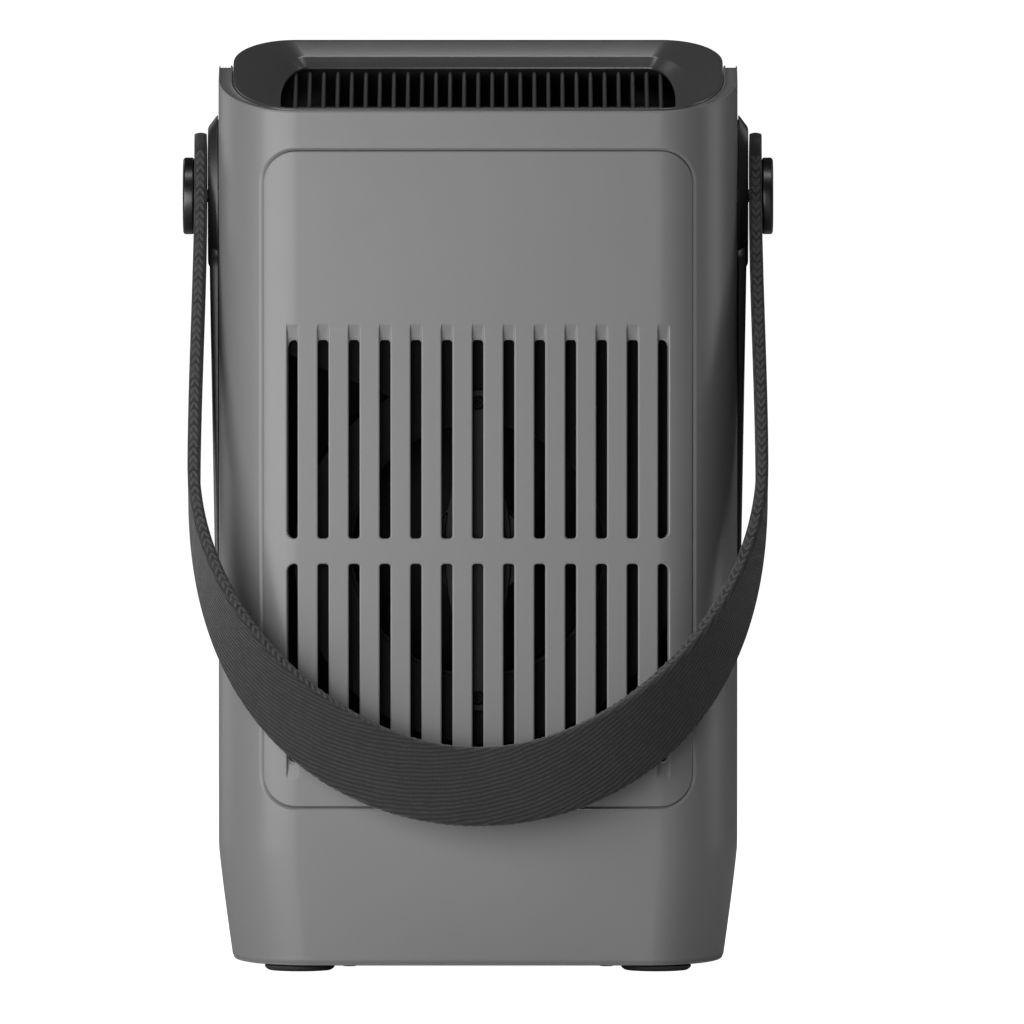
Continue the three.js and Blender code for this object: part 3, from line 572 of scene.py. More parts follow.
shell_grey = moulded("shell_satin", 0.17, 0.35, grain=0.5, grain_depth=0.010, wear_and_highlight=0.3, sheen=0.4)
casing_dark = moulded("casing_dark", 0.034, 0.5, grain=0.6, grain_depth=0.03)
collar_dark = moulded("collar_satin", 0.054, 0.29, grain=0.4, grain_depth=0.006, sheen=1.0)
vane_dark = moulded("vane_satin", 0.05, 0.3, grain=0.4, grain_depth=0.006)
boss_dark = moulded("boss_satin", 0.016, 0.34, grain=0.4, grain_depth=0.01)
inner_black = moulded("inner_black", 0.004, 0.6, grain=0.7, grain_depth=0.02, wear_and_highlight=0.04, sheen=0.12)
wheel_black = moulded("wheel_black", 0.006, 0.5, grain=0.4, grain_depth=0.01, wear_and_highlight=0.08, sheen=0.2)
key_dark = moulded("key_soft_touch", 0.045, 0.6, grain=0.3, grain_depth=0.008)
pivot_centre = (0, (pivot_y + middle_y) / 1000, pivot_z / 1000)
turned_metal = metal("turned_metal", 0.055, 0.26, rings=800, centre=pivot_centre)
motor_steel = metal("motor_steel", 0.5, 0.3)
screw_steel = metal("screw_steel", 0.4, 0.3)
screw_black = metal("screw_black", 0.012, 0.6)
foot_rubber = rubber("foot_rubber", 0.02)
webbing = webbing_weave("webbing_twill", 0.026)
braid_yarn = yarn("braid_yarn", 0.05)


# ---- what repeats ----
def repeating_tree(name, in_a_row):
    """Copies of a part, in a row that steps and turns, or on the points of the piece's own mesh."""
    tree = bpy.data.node_groups.new(name, "GeometryNodeTree")
    sockets = [("Geometry", "Geometry"), ("Part", "Object"), ("Finish", "Material")]
    if in_a_row:
        sockets += [("Count", "Int"), ("Start", "Vector"), ("Step", "Vector"), ("Turn", "Float")]
    for label, kind in sockets:
        tree.interface.new_socket(label, in_out="INPUT", socket_type=f"NodeSocket{kind}")
    tree.interface.new_socket("Geometry", in_out="OUTPUT", socket_type="NodeSocketGeometry")

    def add(kind, settings=None, **inputs):
        made = tree.nodes.new(kind)
        for key, value in (settings or {}).items():
            setattr(made, key, value)
        for key, value in inputs.items():
            socket = made.inputs[key.replace("_", " ")]
            if isinstance(value, bpy.types.NodeSocket):
                tree.links.new(value, socket)
            else:
                socket.default_value = value
        return made

    given = add("NodeGroupInput").outputs
    part = add("GeometryNodeObjectInfo", Object=given["Part"]).outputs["Geometry"]
    if in_a_row:
        row = add("GeometryNodeMeshLine", Count=given["Count"], Start_Location=given["Start"],
                  Offset=given["Step"])
        place = add("GeometryNodeInputIndex").outputs[0]
        angle = add("ShaderNodeMath", {"operation": "MULTIPLY"})
        tree.links.new(place, angle.inputs[0])
        tree.links.new(given["Turn"], angle.inputs[1])
        euler = add("ShaderNodeCombineXYZ", Y=angle.outputs[0]).outputs[0]
        points = row.outputs["Mesh"]
    else:
        euler = add("GeometryNodeInputNamedAttribute", {"data_type": "FLOAT_VECTOR"},
                    Name="facing").outputs[0]
        points = given["Geometry"]
    turn = add("FunctionNodeEulerToRotation", Euler=euler).outputs[0]
    copies = add("GeometryNodeInstanceOnPoints", Points=points, Instance=part, Rotation=turn).outputs[0]
    real = add("GeometryNodeRealizeInstances", Geometry=copies).outputs[0]
    dressed = add("GeometryNodeSetMaterial", Geometry=real, Material=given["Finish"]).outputs[0]
    last = tree.nodes.new("NodeGroupOutput")
    tree.links.new(dressed, last.inputs[0])
    return tree


row_tree = repeating_tree("copies_in_a_row", True)
spots_tree = repeating_tree("copies_on_spots", False)


def repeated(name, tree, part, material, points=((0, 0, 0),), facings=None, **inputs):
    """A piece made of copies of a part by a node tree; the tree's inputs are given by name."""
    mesh = bpy.data.meshes.new(name)
    mesh.from_pydata([tuple(point) for point in points], [], [])
    if facings is not None:
        attribute = mesh.attributes.new("facing", "FLOAT_VECTOR", "POINT")
        attribute.data.foreach_set("vector", np.array(facings, float).ravel())
    piece = bpy.data.objects.new(name, mesh)
    bpy.context.scene.collection.objects.link(piece)
    copies = piece.modifiers.new("copies", "NODES")
    copies.node_group = tree
    keys = {item.name: item.identifier for item in tree.interface.items_tree if item.in_out == "INPUT"}
    for label, value in {"Part": part, "Finish": material, **inputs}.items():
        copies[keys[label]] = value
    settle(piece)
    bpy.data.objects.remove(part)
    return piece


def part_at_origin(name, shape):
    """A part about the origin, for copying."""
    piece = build(name, shape)
    piece.data.transform(Matrix.Translation((0, -middle_y / 1000, 0)))
    return piece


def spot(x, y, z):
    return (x / 1000, (y + middle_y) / 1000, z / 1000)


# ---- light shell ----
panel_gap = 0.8
window = (-panel_high[0] - panel_gap, panel_high[0] + panel_gap,
          panel_low[2] - panel_gap, panel_high[2] + panel_gap)
window_corner = 11.0
hem_round = 0.7


def quarter(radius, steps=4):
    """A rounded edge as (how far in from the edge, how deep) pairs."""
    return [(radius * (1 - math.sin(a)), radius * (1 - math.cos(a))) for a in sweep(0, 90, steps)]


def window_loop(outset):
    """The panel's window, grown by an outset, as flat (t, z) points on the front skin."""
    left, right, bottom, top = window
    loop = rounded_rectangle(left - outset, right + outset, bottom - outset, top + outset,
                             window_corner + outset)
    return np.column_stack([front_skin.along(loop[:, 0]), loop[:, 1]])


def skin_ring(shape, skin, loop, depth, lit=False):
    normals = skin.normal(loop[:, 0], loop[:, 1]) if lit else None
    return shape.ring(skin.at(loop[:, 0], loop[:, 1], depth), normals)


def sheet_edge(skin, end_t, top, bottom, columns, rows):
    """The outer border of a shell as a flat loop, with the way out of the sheet at each point."""
    across = np.linspace(-end_t, end_t, columns)
    up = np.linspace(0, 1, rows)[1:-1]
    end_y = skin.at(end_t, 100.0)[1]
    z_top = top(skin.at(across, 150.0)[:, 1])
    tall = bottom + (top(end_y) - bottom) * up
    low = np.column_stack([across, np.full(columns, bottom)])
    high = np.column_stack([across, z_top])[::-1]
    right = np.column_stack([np.full(rows - 2, end_t), tall])
    left = np.column_stack([np.full(rows - 2, -end_t), tall[::-1]])
    along_y = -skin.facing
    ways = [np.tile([0, 0, -1.0], (columns, 1)), np.tile([0, along_y, 0.0], (rows - 2, 1)),
            np.tile([0, 0, 1.0], (columns, 1)), np.tile([0, along_y, 0.0], (rows - 2, 1))]
    ways[0][[0, -1]] = ways[2][[0, -1]] = (0, along_y, 0)
    ways[0][[0, -1], 2], ways[2][[0, -1], 2] = -1, 1
    return np.concatenate([low, right, high, left]), np.concatenate(ways)


def rolled_edge(shape, skin, loop, ways, rounding):
    """Rings from the outer border over the sheet's edge to the inner border; returns the border ids."""
    wall = skin.thickness(loop[:, 0])[:, None]
    outer = skin.at(loop[:, 0], loop[:, 1], 0)
    inner = skin.at(loop[:, 0], loop[:, 1], skin.thickness(loop[:, 0]))
    steps = [(inset, deep) for deep, inset in quarter(rounding)]
    rings = [shape.ring(outer, skin.normal(loop[:, 0], loop[:, 1]))]
    for deep, out in [(d, rounding - i) for d, i in steps][::-1][1:]:
        share = deep / wall
        rings.append(shape.ring(outer * (1 - share) + inner * share + ways * out))
    for deep, out in [(d, rounding - i) for d, i in steps]:
        share = 1 - deep / wall
        rings.append(shape.ring(outer * (1 - share) + inner * share + ways * out))
    shape.bands(rings)
    return rings[0], rings[-1]


def grid_points(t_values, z_values):
    return np.array([(t, z) for t in t_values for z in z_values])


def round_hole(shape, skin, t, z, radius, rounding, steps=28):
    """A round hole through a skin: returns its outer and inner loops for the patches."""
    angles = np.arange(steps) * 2 * math.pi / steps
    rings, loops = [], []
    wall = float(skin.thickness(t))
    profile = [(outset, deep) for outset, deep in quarter(rounding)]
    profile += [(outset, wall - deep) for outset, deep in quarter(rounding)[::-1]]
    for outset, depth in profile:
        loop = np.column_stack([t + (radius + outset) * np.cos(angles),
                                z + (radius + outset) * np.sin(angles)])
        loops.append(loop)
        rings.append(skin_ring(shape, skin, loop, depth))
    shape.bands(rings)
    return (rings[0], loops[0]), (rings[-1], loops[-1])


def screw_post(shape, skin, x, z, hole, seat_depth, bore, post, reach):
    """A sunk screw hole in a skin with its post behind: returns the loops for the patches."""
    angles = np.arange(32) * 2 * math.pi / 32

    def circle(radius):
        across = x + radius * np.cos(angles)
        return np.column_stack([skin.along(across), z + radius * np.sin(angles)]), across

    rings, loops = [], []
    for outset, deep in quarter(0.4):
        loops.append(circle(hole + outset)[0])
        rings.append(skin_ring(shape, skin, loops[-1], deep, lit=deep == 0))
    face = skin.facing * skin.face
    inward = [(hole, seat_depth), (hole - 0.1, seat_depth + 0.1), (bore, seat_depth + 0.1), (bore, reach),
              (post - 0.3, reach), (post, reach - 0.3)]
    for radius, depth in inward:
        flat, across = circle(radius)
        rings.append(shape.ring(np.column_stack([across, np.full(32, face - skin.facing * depth),
                                                 flat[:, 1]])))
    back, _ = circle(post)
    rings.append(skin_ring(shape, skin, back, skin.thickness(back[:, 0])))
    shape.bands(rings)
    return (rings[0], loops[0]), (rings[-1], back)


def window_edge(shape):
    """The window's rim, the groove's floor and the ledge behind the panel."""
    wall = front_wall
    slope = [(0.35, 0), (0.25, 0.04), (0.1, 0.14), (-0.1, 0.32), (-0.3, 0.54), (-0.5, 0.78), (-0.64, 0.98)]
    profile = slope + [(-0.72, 1.15), (-0.72, wall + 0.1)]
    rings, loops = [], []
    for outset, depth in profile:
        loop = window_loop(outset)
        loops.append(loop)
        rings.append(skin_ring(shape, front_skin, loop, depth, lit=depth == 0))
    ledge = [(-0.75, 0.35), (-3.2, 0.35), (-3.3, 0.5), (-3.3, 2.2),
             (-3.1, 2.35), (1.6, 2.35), (1.8, 2.2), (1.8, 0)]
    for outset, past in ledge:
        loop = window_loop(outset)
        loops.append(loop)
        rings.append(skin_ring(shape, front_skin, loop, front_skin.thickness(loop[:, 0]) + past))
    shape.bands(rings)
    return (rings[0], loops[0]), (rings[-1], loops[-1])


def front_shell():
    shape = Shape()
    end_t = float(front_skin.side(split_y)) - hem_round
    loop, ways = sheet_edge(front_skin, end_t, lambda y: rim(y) - hem_round, floor_z + hem_round, 121, 70)
    outer, inner = rolled_edge(shape, front_skin, loop, ways, hem_round)
    front_hole, back_hole = window_edge(shape)
    pivot_t = float(front_skin.side(pivot_y))
    holes = [round_hole(shape, front_skin, side * pivot_t, pivot_z, 2.3, 0.3) for side in (-1, 1)]
    bends = np.linspace(front_skin.turn_x - 3, front_skin.bend + 2, 19)
    tall = np.concatenate([np.linspace(7, 44, 16), np.arange(50, 268, 7.0)])
    loose = np.concatenate([grid_points(sign * bends, tall) for sign in (-1, 1)])
    level = grid_points(np.arange(-50, 51, 10.0), np.linspace(7, 44, 8))
    hem = grid_points(np.arange(-end_t + 2, end_t - 1, 2.6), floor_z + np.array([0.9, 1.4, 2.05, 3.2]))
    loose = np.concatenate([loose, level, hem])
    thick = front_skin.thickness
    shape.patch((outer, loop), [front_hole, *[hole[0] for hole in holes]], loose,
                lambda p: (front_skin.at(p[:, 0], p[:, 1]), front_skin.normal(p[:, 0], p[:, 1])))
    shape.patch((inner, loop), [back_hole, *[hole[1] for hole in holes]], loose,
                lambda p: (front_skin.at(p[:, 0], p[:, 1], thick(p[:, 0])), None))
    return build("front_shell_moulding", shape)


finish(front_shell(), shell_grey, "shell", "casing", "front_shell")


# ---- slotted panel ----
slot_columns, slot_pitch = 13, 9.62
slot_width, slot_height, slot_row_gap = 3.34, 61.8, 7.9
slot_corner, outer_corner = 0.95, 2.3
slot_round = 0.5
flute_length, flute_depth = 5.4, 1.15


def slot_opening(shape, x, z, up, corners):
    """One slot: z is its closed end, up is 1 or -1 towards its flute. Returns its two border loops."""
    half = slot_width / 2
    sides = np.arange(1, 8) / 8 * slot_width - half

    def chain(outset):
        left, right = corners
        turn_left, turn_right = sweep(180, 270, 6), sweep(270, 360, 6)
        tall = np.linspace(0, 1, 13)[:, None]
        bend = np.concatenate([
            np.column_stack([-half + left + (left + outset) * np.cos(turn_left),
                             left + (left + outset) * np.sin(turn_left)]),
            np.column_stack([half - right + (right + outset) * np.cos(turn_right),
                             right + (right + outset) * np.sin(turn_right)]),
        ])
        start = np.array([-half - outset, slot_height - left])
        end = np.array([half + outset, slot_height - right])
        down = start * (1 - tall) + bend[0] * tall
        rise = bend[-1] * (1 - tall) + end * tall
        return np.concatenate([down[:-1], bend, rise[1:]])

    def closed_end(place):
        """Height of the slot's rounded end under its flute, at a place across."""
        left, right = corners
        past_left = np.clip(left - (place + half), 0, left)
        past_right = np.clip(right - (half - place), 0, right)
        dip_left = left - np.sqrt(left ** 2 - past_left ** 2)
        dip_right = right - np.sqrt(right ** 2 - past_right ** 2)
        return slot_height - dip_left - dip_right

    def put(flat, depth):
        flat = np.asarray(flat, float)
        t = front_skin.along(x + flat[:, 0])
        height = z + up * flat[:, 1]
        on_face = np.broadcast_to(np.asarray(depth, float) < 1e-6, t.shape)[:, None]
        normals = np.where(on_face, front_skin.normal(t, height), 0)
        return shape.ring(front_skin.at(t, height, depth), normals), np.column_stack([t, height])

    rounding = quarter(slot_round)
    chains = [put(chain(outset), deep) for outset, deep in rounding]
    floor_row = np.column_stack([sides[::-1], closed_end(sides[::-1])])
    lip, _ = put(np.concatenate([chain(0), floor_row]), flute_depth)
    wall = front_skin.thickness(front_skin.along(x))
    throat, _ = put(np.concatenate([chain(0), floor_row]), wall - 0.3)
    back_row = floor_row + (0, 0.3)
    back, back_flat = put(np.concatenate([chain(0.3), back_row]), wall)
    count = len(chain(0))
    shape.bands([ids for ids, _ in chains], closed=False)
    shape.band(chains[-1][0], lip[:count], closed=False)
    shape.bands([lip, throat, back])

    rows = 6
    right_edge = [ids[-1] for ids, _ in chains] + [lip[count - 1]]
    left_edge = [lip[0]] + [ids[0] for ids, _ in chains][::-1]
    previous = right_edge + lip[count:] + left_edge
    rights, lefts, rights_flat, lefts_flat = [], [], [], []
    tip, tip_flat = None, None
    for row in range(1, rows + 1):
        share = row / rows
        depth = flute_depth * (1 - share) ** 0.9
        edge = max(min(slot_round, depth), 0.04)
        height = slot_height + flute_length * share
        cross = [(half + o, min(d, depth)) for o, d in quarter(edge)] + [(half - 0.01, depth)]
        middle = [(place, depth * (1 + 0.12 * (1 - (place / half) ** 2))) for place in sides[::-1]]
        every = cross + middle + [(-place, d) for place, d in cross[::-1]]
        flat = np.array([(place, height) for place, _ in every])
        depths = np.array([d for _, d in every])
        if row == rows:
            depths[:] = 0
        ids, placed_flat = put(flat, depths)
        shape.band(previous, ids, closed=False)
        previous = ids
        rights.append(ids[0])
        rights_flat.append(placed_flat[0])
        lefts.append(ids[-1])
        lefts_flat.append(placed_flat[-1])
        tip, tip_flat = ids, placed_flat
    mouth = chains[0][0] + rights[:-1] + tip + lefts[:-1][::-1]
    mouth_flat = np.concatenate([chains[0][1], rights_flat[:-1], tip_flat, lefts_flat[:-1][::-1]])
    return (mouth, mouth_flat), (back, back_flat)


def slotted_panel():
    shape = Shape()
    panel_round, panel_drop = 0.45, 0.45
    edge = [(panel_round * (1 - math.sin(a)), panel_drop * (1 - math.cos(a))) for a in sweep(0, 90, 6)]
    front_loop = window_loop(-panel_gap - edge[0][0])
    edge_rings = [skin_ring(shape, front_skin, front_loop, 0, lit=True)]
    for inset, depth in edge[1:]:
        edge_rings.append(skin_ring(shape, front_skin, window_loop(-panel_gap - inset), depth))
    side_loop = window_loop(-panel_gap)
    edge_rings.append(skin_ring(shape, front_skin, side_loop, front_wall - 0.2))
    back_loop = window_loop(-panel_gap - 0.2)
    edge_rings.append(skin_ring(shape, front_skin, back_loop, front_skin.thickness(back_loop[:, 0])))
    shape.bands(edge_rings)
    mouths, backs = [], []
    middle = (slot_columns - 1) / 2
    for row, up in ((0, -1), (1, 1)):
        for column in range(slot_columns):
            x = (column - middle) * slot_pitch
            corners = [slot_corner, slot_corner]
            if column == 0:
                corners[0] = outer_corner
            if column == slot_columns - 1:
                corners[1] = outer_corner
            start = slots_z + up * slot_row_gap / 2
            mouth, back = slot_opening(shape, x, start, up, corners)
            mouths.append(mouth)
            backs.append(back)
    bends = np.linspace(front_skin.turn_x - 2, front_skin.along(panel_high[0]), 9)
    tall = np.arange(56, 254, 5.0)
    loose = np.concatenate([grid_points(sign * bends, tall) for sign in (-1, 1)])
    thick = front_skin.thickness
    shape.patch((edge_rings[0], front_loop), mouths, loose,
                lambda p: (front_skin.at(p[:, 0], p[:, 1]), front_skin.normal(p[:, 0], p[:, 1])))
    shape.patch((edge_rings[-1], back_loop), backs, loose,
                lambda p: (front_skin.at(p[:, 0], p[:, 1], thick(p[:, 0])), None))
    return build("slotted_panel", shape)


finish(slotted_panel(), shell_grey, "shell", "casing", "front_grille")


# ---- dark rear shell ----
screw_points = [(sum(box(f"case_screw_{i}")[j][0] for j in (0, 1)) / 2,
                 sum(box(f"case_screw_{i}")[j][2] for j in (0, 1)) / 2)
                for i in (1, 2, 3, 4)]
power_z = (box("power_button")[0][2] + box("power_button")[1][2]) / 2
speed_z = (box("speed_button")[0][2] + box("speed_button")[1][2]) / 2
socket_low, socket_high = box("charging_socket")
collar_depth = 8.0
key_radius, screw_hole = 7.3, 3.1


def rear_shell():
    shape = Shape()
    end_t = float(rear_skin.side(split_y - 10)) - 0.4
    loop, ways = sheet_edge(rear_skin, end_t, lambda y: rim(y) - collar_depth - fit - 0.4,
                            floor_z + 0.4, 121, 70)
    outer, inner = rolled_edge(shape, rear_skin, loop, ways, 0.4)
    holes = [round_hole(shape, rear_skin, 0, z, key_radius, 0.5, 48) for z in (power_z, speed_z)]
    holes += [screw_post(shape, rear_skin, x, z, screw_hole, 7.7, 1.8, 4.0, 24.0) for x, z in screw_points]
    wall = rear_wall
    rings, loops = [], []
    profile = quarter(0.4) + [(o, wall - d) for o, d in quarter(0.3)[::-1]]
    for outset, depth in profile:
        reach = outset + fit
        flat = rounded_rectangle(socket_low[0] - reach, socket_high[0] + reach, socket_low[2] - reach,
                                 socket_high[2] + reach, 1.6 + outset, 6, (4, 2))
        loops.append(flat)
        rings.append(skin_ring(shape, rear_skin, flat, depth))
    shape.bands(rings)
    holes.append(((rings[0], loops[0]), (rings[-1], loops[-1])))
    bends = np.linspace(rear_skin.turn_x - 3, rear_skin.bend + 2, 15)
    tall = np.concatenate([np.linspace(7, 44, 12), np.arange(50, 268, 8.0)])
    loose = np.concatenate([grid_points(sign * bends, tall) for sign in (-1, 1)])
    level = grid_points(np.arange(-50, 51, 10.0), np.linspace(7, 44, 8))
    hem = grid_points(np.arange(-end_t + 2, end_t - 1, 2.6), floor_z + np.array([0.9, 1.4, 2.05, 3.2]))
    loose = np.concatenate([loose, level, hem])
    thick = rear_skin.thickness
    shape.patch((outer, loop), [hole[0] for hole in holes], loose,
                lambda p: (rear_skin.at(p[:, 0], p[:, 1]), rear_skin.normal(p[:, 0], p[:, 1])))
    shape.patch((inner, loop), [hole[1] for hole in holes], loose,
                lambda p: (rear_skin.at(p[:, 0], p[:, 1], thick(p[:, 0])), None))
    return build("rear_shell_moulding", shape)


finish(rear_shell(), casing_dark, "dark_casing", "casing", "rear_shell")


# ---- top collar ----
def collar_ring(side, face, nose_corner, tail_corner, drop):
    return plan(core_half - side, -half_depth + front_wall + face, half_depth - face,
                nose_corner, tail_corner,
                lambda y: rim(y) - drop)


def top_collar():
    core_nose = (nose[0] - side_wall, nose[1] - front_wall)

    def wall(inset, drop):
        return collar_ring(inset, inset, tuple(c - inset for c in core_nose),
                           tuple(c - inset for c in tail), drop)

    mouth = (15, 6, (8.5, 16), (8.5, 39))
    rings = [
        wall(0.08, collar_depth),
        wall(0.08, 0),
        wall(1.3, 0),
        collar_ring(8, 5.0, (14.5, 20), (14.5, 54), 4.1),
        collar_ring(*mouth, 7.1),
        collar_ring(*mouth, collar_depth),
    ]
    shape = Shape()
    rings = eased([*rings, rings[0], rings[1]], 0.35)[1:-1]
    rows = [shape.ring(ring) for ring in rings]
    shape.bands([*rows, rows[0]])
    return build("funnel_collar", shape, crease=50)


finish(top_collar(), collar_dark, "dark_collar", "casing", "top_collar")


# ---- outlet vanes ----
def outlet_vanes():
    low, high = box("outlet_vanes")
    front, back = low[1] - middle_y, high[1] - middle_y
    count = 27
    reach = high[0] - 0.65
    thickness, height = 1.3, 9.0
    shape = Shape()

    def top(y):
        return rim(y) - collar_depth - fit

    rings = []
    for share in np.linspace(0, 1, 9):
        y = front + (back - front) * share
        crown = [(0.65, 0), (0.65, height - 1.0), (0.5, height - 0.45), (0.22, height - 0.08), (0, height)]
        crown = crown + [(-x, z) for x, z in crown[::-1][1:]]
        base = top(y) - height
        rings.append(np.array([(x, y, base + z) for x, z in crown]))
    shape.loft(rings)
    vane = build("vane_part", shape, crease=60)
    step = (2 * reach / (count - 1) / 1000, 0, 0)
    vanes = repeated("outlet_vane_set", row_tree, vane, vane_dark, Count=count,
                     Start=(-reach / 1000, 0, 0), Step=step, Turn=0.0)
    bars = Shape()
    for y in (front + 20, back - 20):
        base = top(y) - height + 0.5
        section = [(-1, 0), (1, 0), (1, 2.5), (-1, 2.5)]
        rows = [np.array([(x, y + a, base + b) for a, b in section]) for x in (-reach - 1, reach + 1)]
        bars.loft(rows)
    soften(build("vane_ties", bars), 0.3)
    finish(bpy.data.objects["vane_ties"], vane_dark, "vane", "casing")
    return vanes


finish(outlet_vanes(), vane_dark, "vane", "casing", "outlet_vanes")


# ---- side plates ----
def casing_block(facing, grown):
    """The casing's outside as a solid, for fitting pieces to it."""
    shape = Shape()
    if facing < 0:
        half, near, corner = half_width + grown, half_depth + grown, (nose[0] + grown, nose[1] + grown)
        ends = (-near, split_y + grown)
    else:
        half, near, corner = core_half + grown, half_depth + grown, (tail[0] + grown, tail[1] + grown)
        ends = (-10.0, near)
    corner_end = (0.01, 0.01)
    nose_corner, tail_corner = (corner, corner_end) if facing < 0 else (corner_end, corner)
    levels = [floor_z, *np.linspace(4, 40, 10), 320.0]
    rings = []
    for z in levels:
        side, face = draw_in(np.array(z))
        ring = plan(half, ends[0], ends[1], nose_corner, tail_corner, lambda y, z=z: np.full_like(y, z), 24)
        ring[:, 0] *= 1 - side / half_width
        ring[:, 1] *= 1 - face / half_depth
        rings.append(ring)
    shape.loft(rings)
    return build("casing_block", shape)


def side_plate(side):
    boss_radius, boss_forward, boss_chamfer, tail_half = 25.4, 10.7, 4.0, 10.0
    face_x = plate_high[0]
    disc = Shape()
    profile = [(boss_radius, half_width - 12), (boss_radius, face_x - 3),
               (boss_radius - boss_chamfer, face_x)]
    rings = turned([*profile, (boss_radius - 6, face_x), (boss_radius - 6.5, face_x - 0.35),
                    (14, face_x - 0.35)],
                   "x", 96, 0.8)
    for ring in rings:
        ring[:, 1] *= np.where(ring[:, 1] < 0, boss_forward / boss_radius, 1)
    disc.loft([ring + (0, pivot_y, pivot_z) for ring in rings])
    plate = build(f"side_boss_{'left' if side < 0 else 'right'}", disc)
    tail_top, tail_bottom = pivot_z - boss_radius + 2, plate_low[2]
    strip = Shape()
    rows = []
    for inset, lift in [(0, None), (0, -0.9), (0.3, -0.3), (0.9, 0)]:
        loop = rounded_rectangle(pivot_y - tail_half + inset, pivot_y + tail_half - inset,
                                 tail_bottom + inset,
                                 tail_top + tail_half - inset, tail_half - 1 - inset, 10, (4, 20))
        share = np.clip((loop[:, 1] - tail_bottom) / (tail_top - tail_bottom), 0, 1)
        height = half_width + fit + 0.6 + share * (face_x - half_width - fit - 1.2)
        x = np.full(len(loop), half_width - 12.0) if lift is None else height + lift
        rows.append(np.column_stack([x, loop]))
    strip.loft(rows)
    carve(plate, build("tail_strip", strip), "UNION")
    carve(plate, casing_block(-1, fit))
    carve(plate, casing_block(1, 0.02))
    if side < 0:
        plate.data.transform(Matrix.Scale(-1, 4, (1, 0, 0)))
        plate.data.flip_normals()
    plate.data.polygons.foreach_set("use_smooth", [True] * len(plate.data.polygons))
    plate.data.set_sharp_from_angle(angle=math.radians(30))
    return plate


for side, label in ((-1, "left"), (1, "right")):
    finish(side_plate(side), boss_dark, "boss", "casing", f"side_plate_{label}")


# ---- strap buttons ----
def strap_button(side):
    outer, inner = disc_high[0], disc_low[0]
    profile = [(0.01, inner), (11.6, inner), (12.0, inner + 0.4), (12.0, outer - 0.6), (11.4, outer - 0.1),
               (9.6, outer), (9.2, outer - 0.25), (8.8, outer - 0.25), (8.4, outer), (0.01, outer)]
    shape = Shape()
    shape.loft([ring * (side, 1, 1) + (0, pivot_y, pivot_z) for ring in turned(profile, "x", 96, 0.35, 4)])
    return build(f"strap_button_cap_{'left' if side < 0 else 'right'}", shape)


for side, label in ((-1, "left"), (1, "right")):
    finish(strap_button(side), turned_metal, "button_metal", "casing", f"strap_button_{label}")


# ---- feet ----
def foot(node):
    low, high = box(node)
    x, y = (low[0] + high[0]) / 2, (low[1] + high[1]) / 2 - middle_y
    radius, height = (high[0] - low[0]) / 2, 1.7
    profile = [(0.01, 0.5), (3.0, 0.5), (3.3, 0), (5.6, 0), (5.9, 0.5), (6.6, 0.5), (6.9, 0),
               (radius - 1.3, 0), (radius - 0.3, 0.7), (radius, 1.4), (radius - 0.3, height),
               (2.5, height), (2.5, high[2]), (0.01, high[2])]
    shape = Shape()
    shape.loft([ring + (x, y, 0) for ring in turned(profile, "z", 64, 0.25)])
    return build(f"{node}_pad", shape)


for node in ("foot_front_left", "foot_front_right", "foot_rear_left", "foot_rear_right"):
    finish(foot(node), foot_rubber, "rubber", "casing", node)


# ---- strap ----
strap_width, strap_thick = 25.0, 3.5
strap_drop, loop_depth, loop_bulge = 92.0, 101.0, 1.8
strap_standoff, strap_twist, twist_ease = 18.6, math.radians(72), 1.7
tab_reach, tab_corner = 19.0, 8.0
strap_inner = disc_low[0] - fit - strap_thick
strap_middle = strap_inner + strap_thick / 2
lean = math.asin((pivot_y + half_depth + strap_standoff) / (strap_drop + loop_depth))
strap_down = np.array([0, -math.sin(lean), -math.cos(lean)])
strap_forward = np.array([0, -math.cos(lean), math.sin(lean)])


def strap_line():
    """The webbing's middle line: points, the way across its width, the way through it, and its half width."""
    tab = tab_corner * (1 - np.cos(sweep(0, 90, 10)))
    fall = np.concatenate([tab - tab_reach, np.linspace(tab_corner - tab_reach, strap_drop, 52)[1:-1]])
    share = np.clip(fall / strap_drop, 0, 1)
    ease = share * share * (3 - 2 * share)
    left = np.column_stack([-(strap_middle + loop_bulge * ease), fall, 0 * fall])
    angle = np.linspace(0, math.pi, 150)
    turn = strap_twist * np.abs(np.sin(angle)) ** twist_ease
    loop = np.column_stack([-(strap_middle + loop_bulge) * np.cos(angle),
                            strap_drop + loop_depth * np.sin(angle), turn])
    stations = np.concatenate([left, loop, left[::-1] * (-1, 1, 1)])
    points = np.array([0, pivot_y, pivot_z]) + stations[:, :1] * (1, 0, 0) + stations[:, 1:2] * strap_down
    ahead = np.concatenate([points[1:], points[-1:]]) - np.concatenate([points[:1], points[:-1]])
    ahead /= np.linalg.norm(ahead, axis=1, keepdims=True)
    inward = np.cross(strap_forward, ahead)
    inward /= np.linalg.norm(inward, axis=1, keepdims=True)
    turn = stations[:, 2:]
    wide = strap_forward * np.cos(turn) + inward * np.sin(turn)
    thick = np.cross(ahead, wide)
    thick /= np.linalg.norm(thick, axis=1, keepdims=True)
    from_tip = np.clip(tab_corner - (stations[:, 1] + tab_reach), 0, tab_corner)
    corner = tab_corner - np.sqrt(tab_corner ** 2 - from_tip ** 2)
    return points, ahead, wide, thick, strap_width / 2 - corner


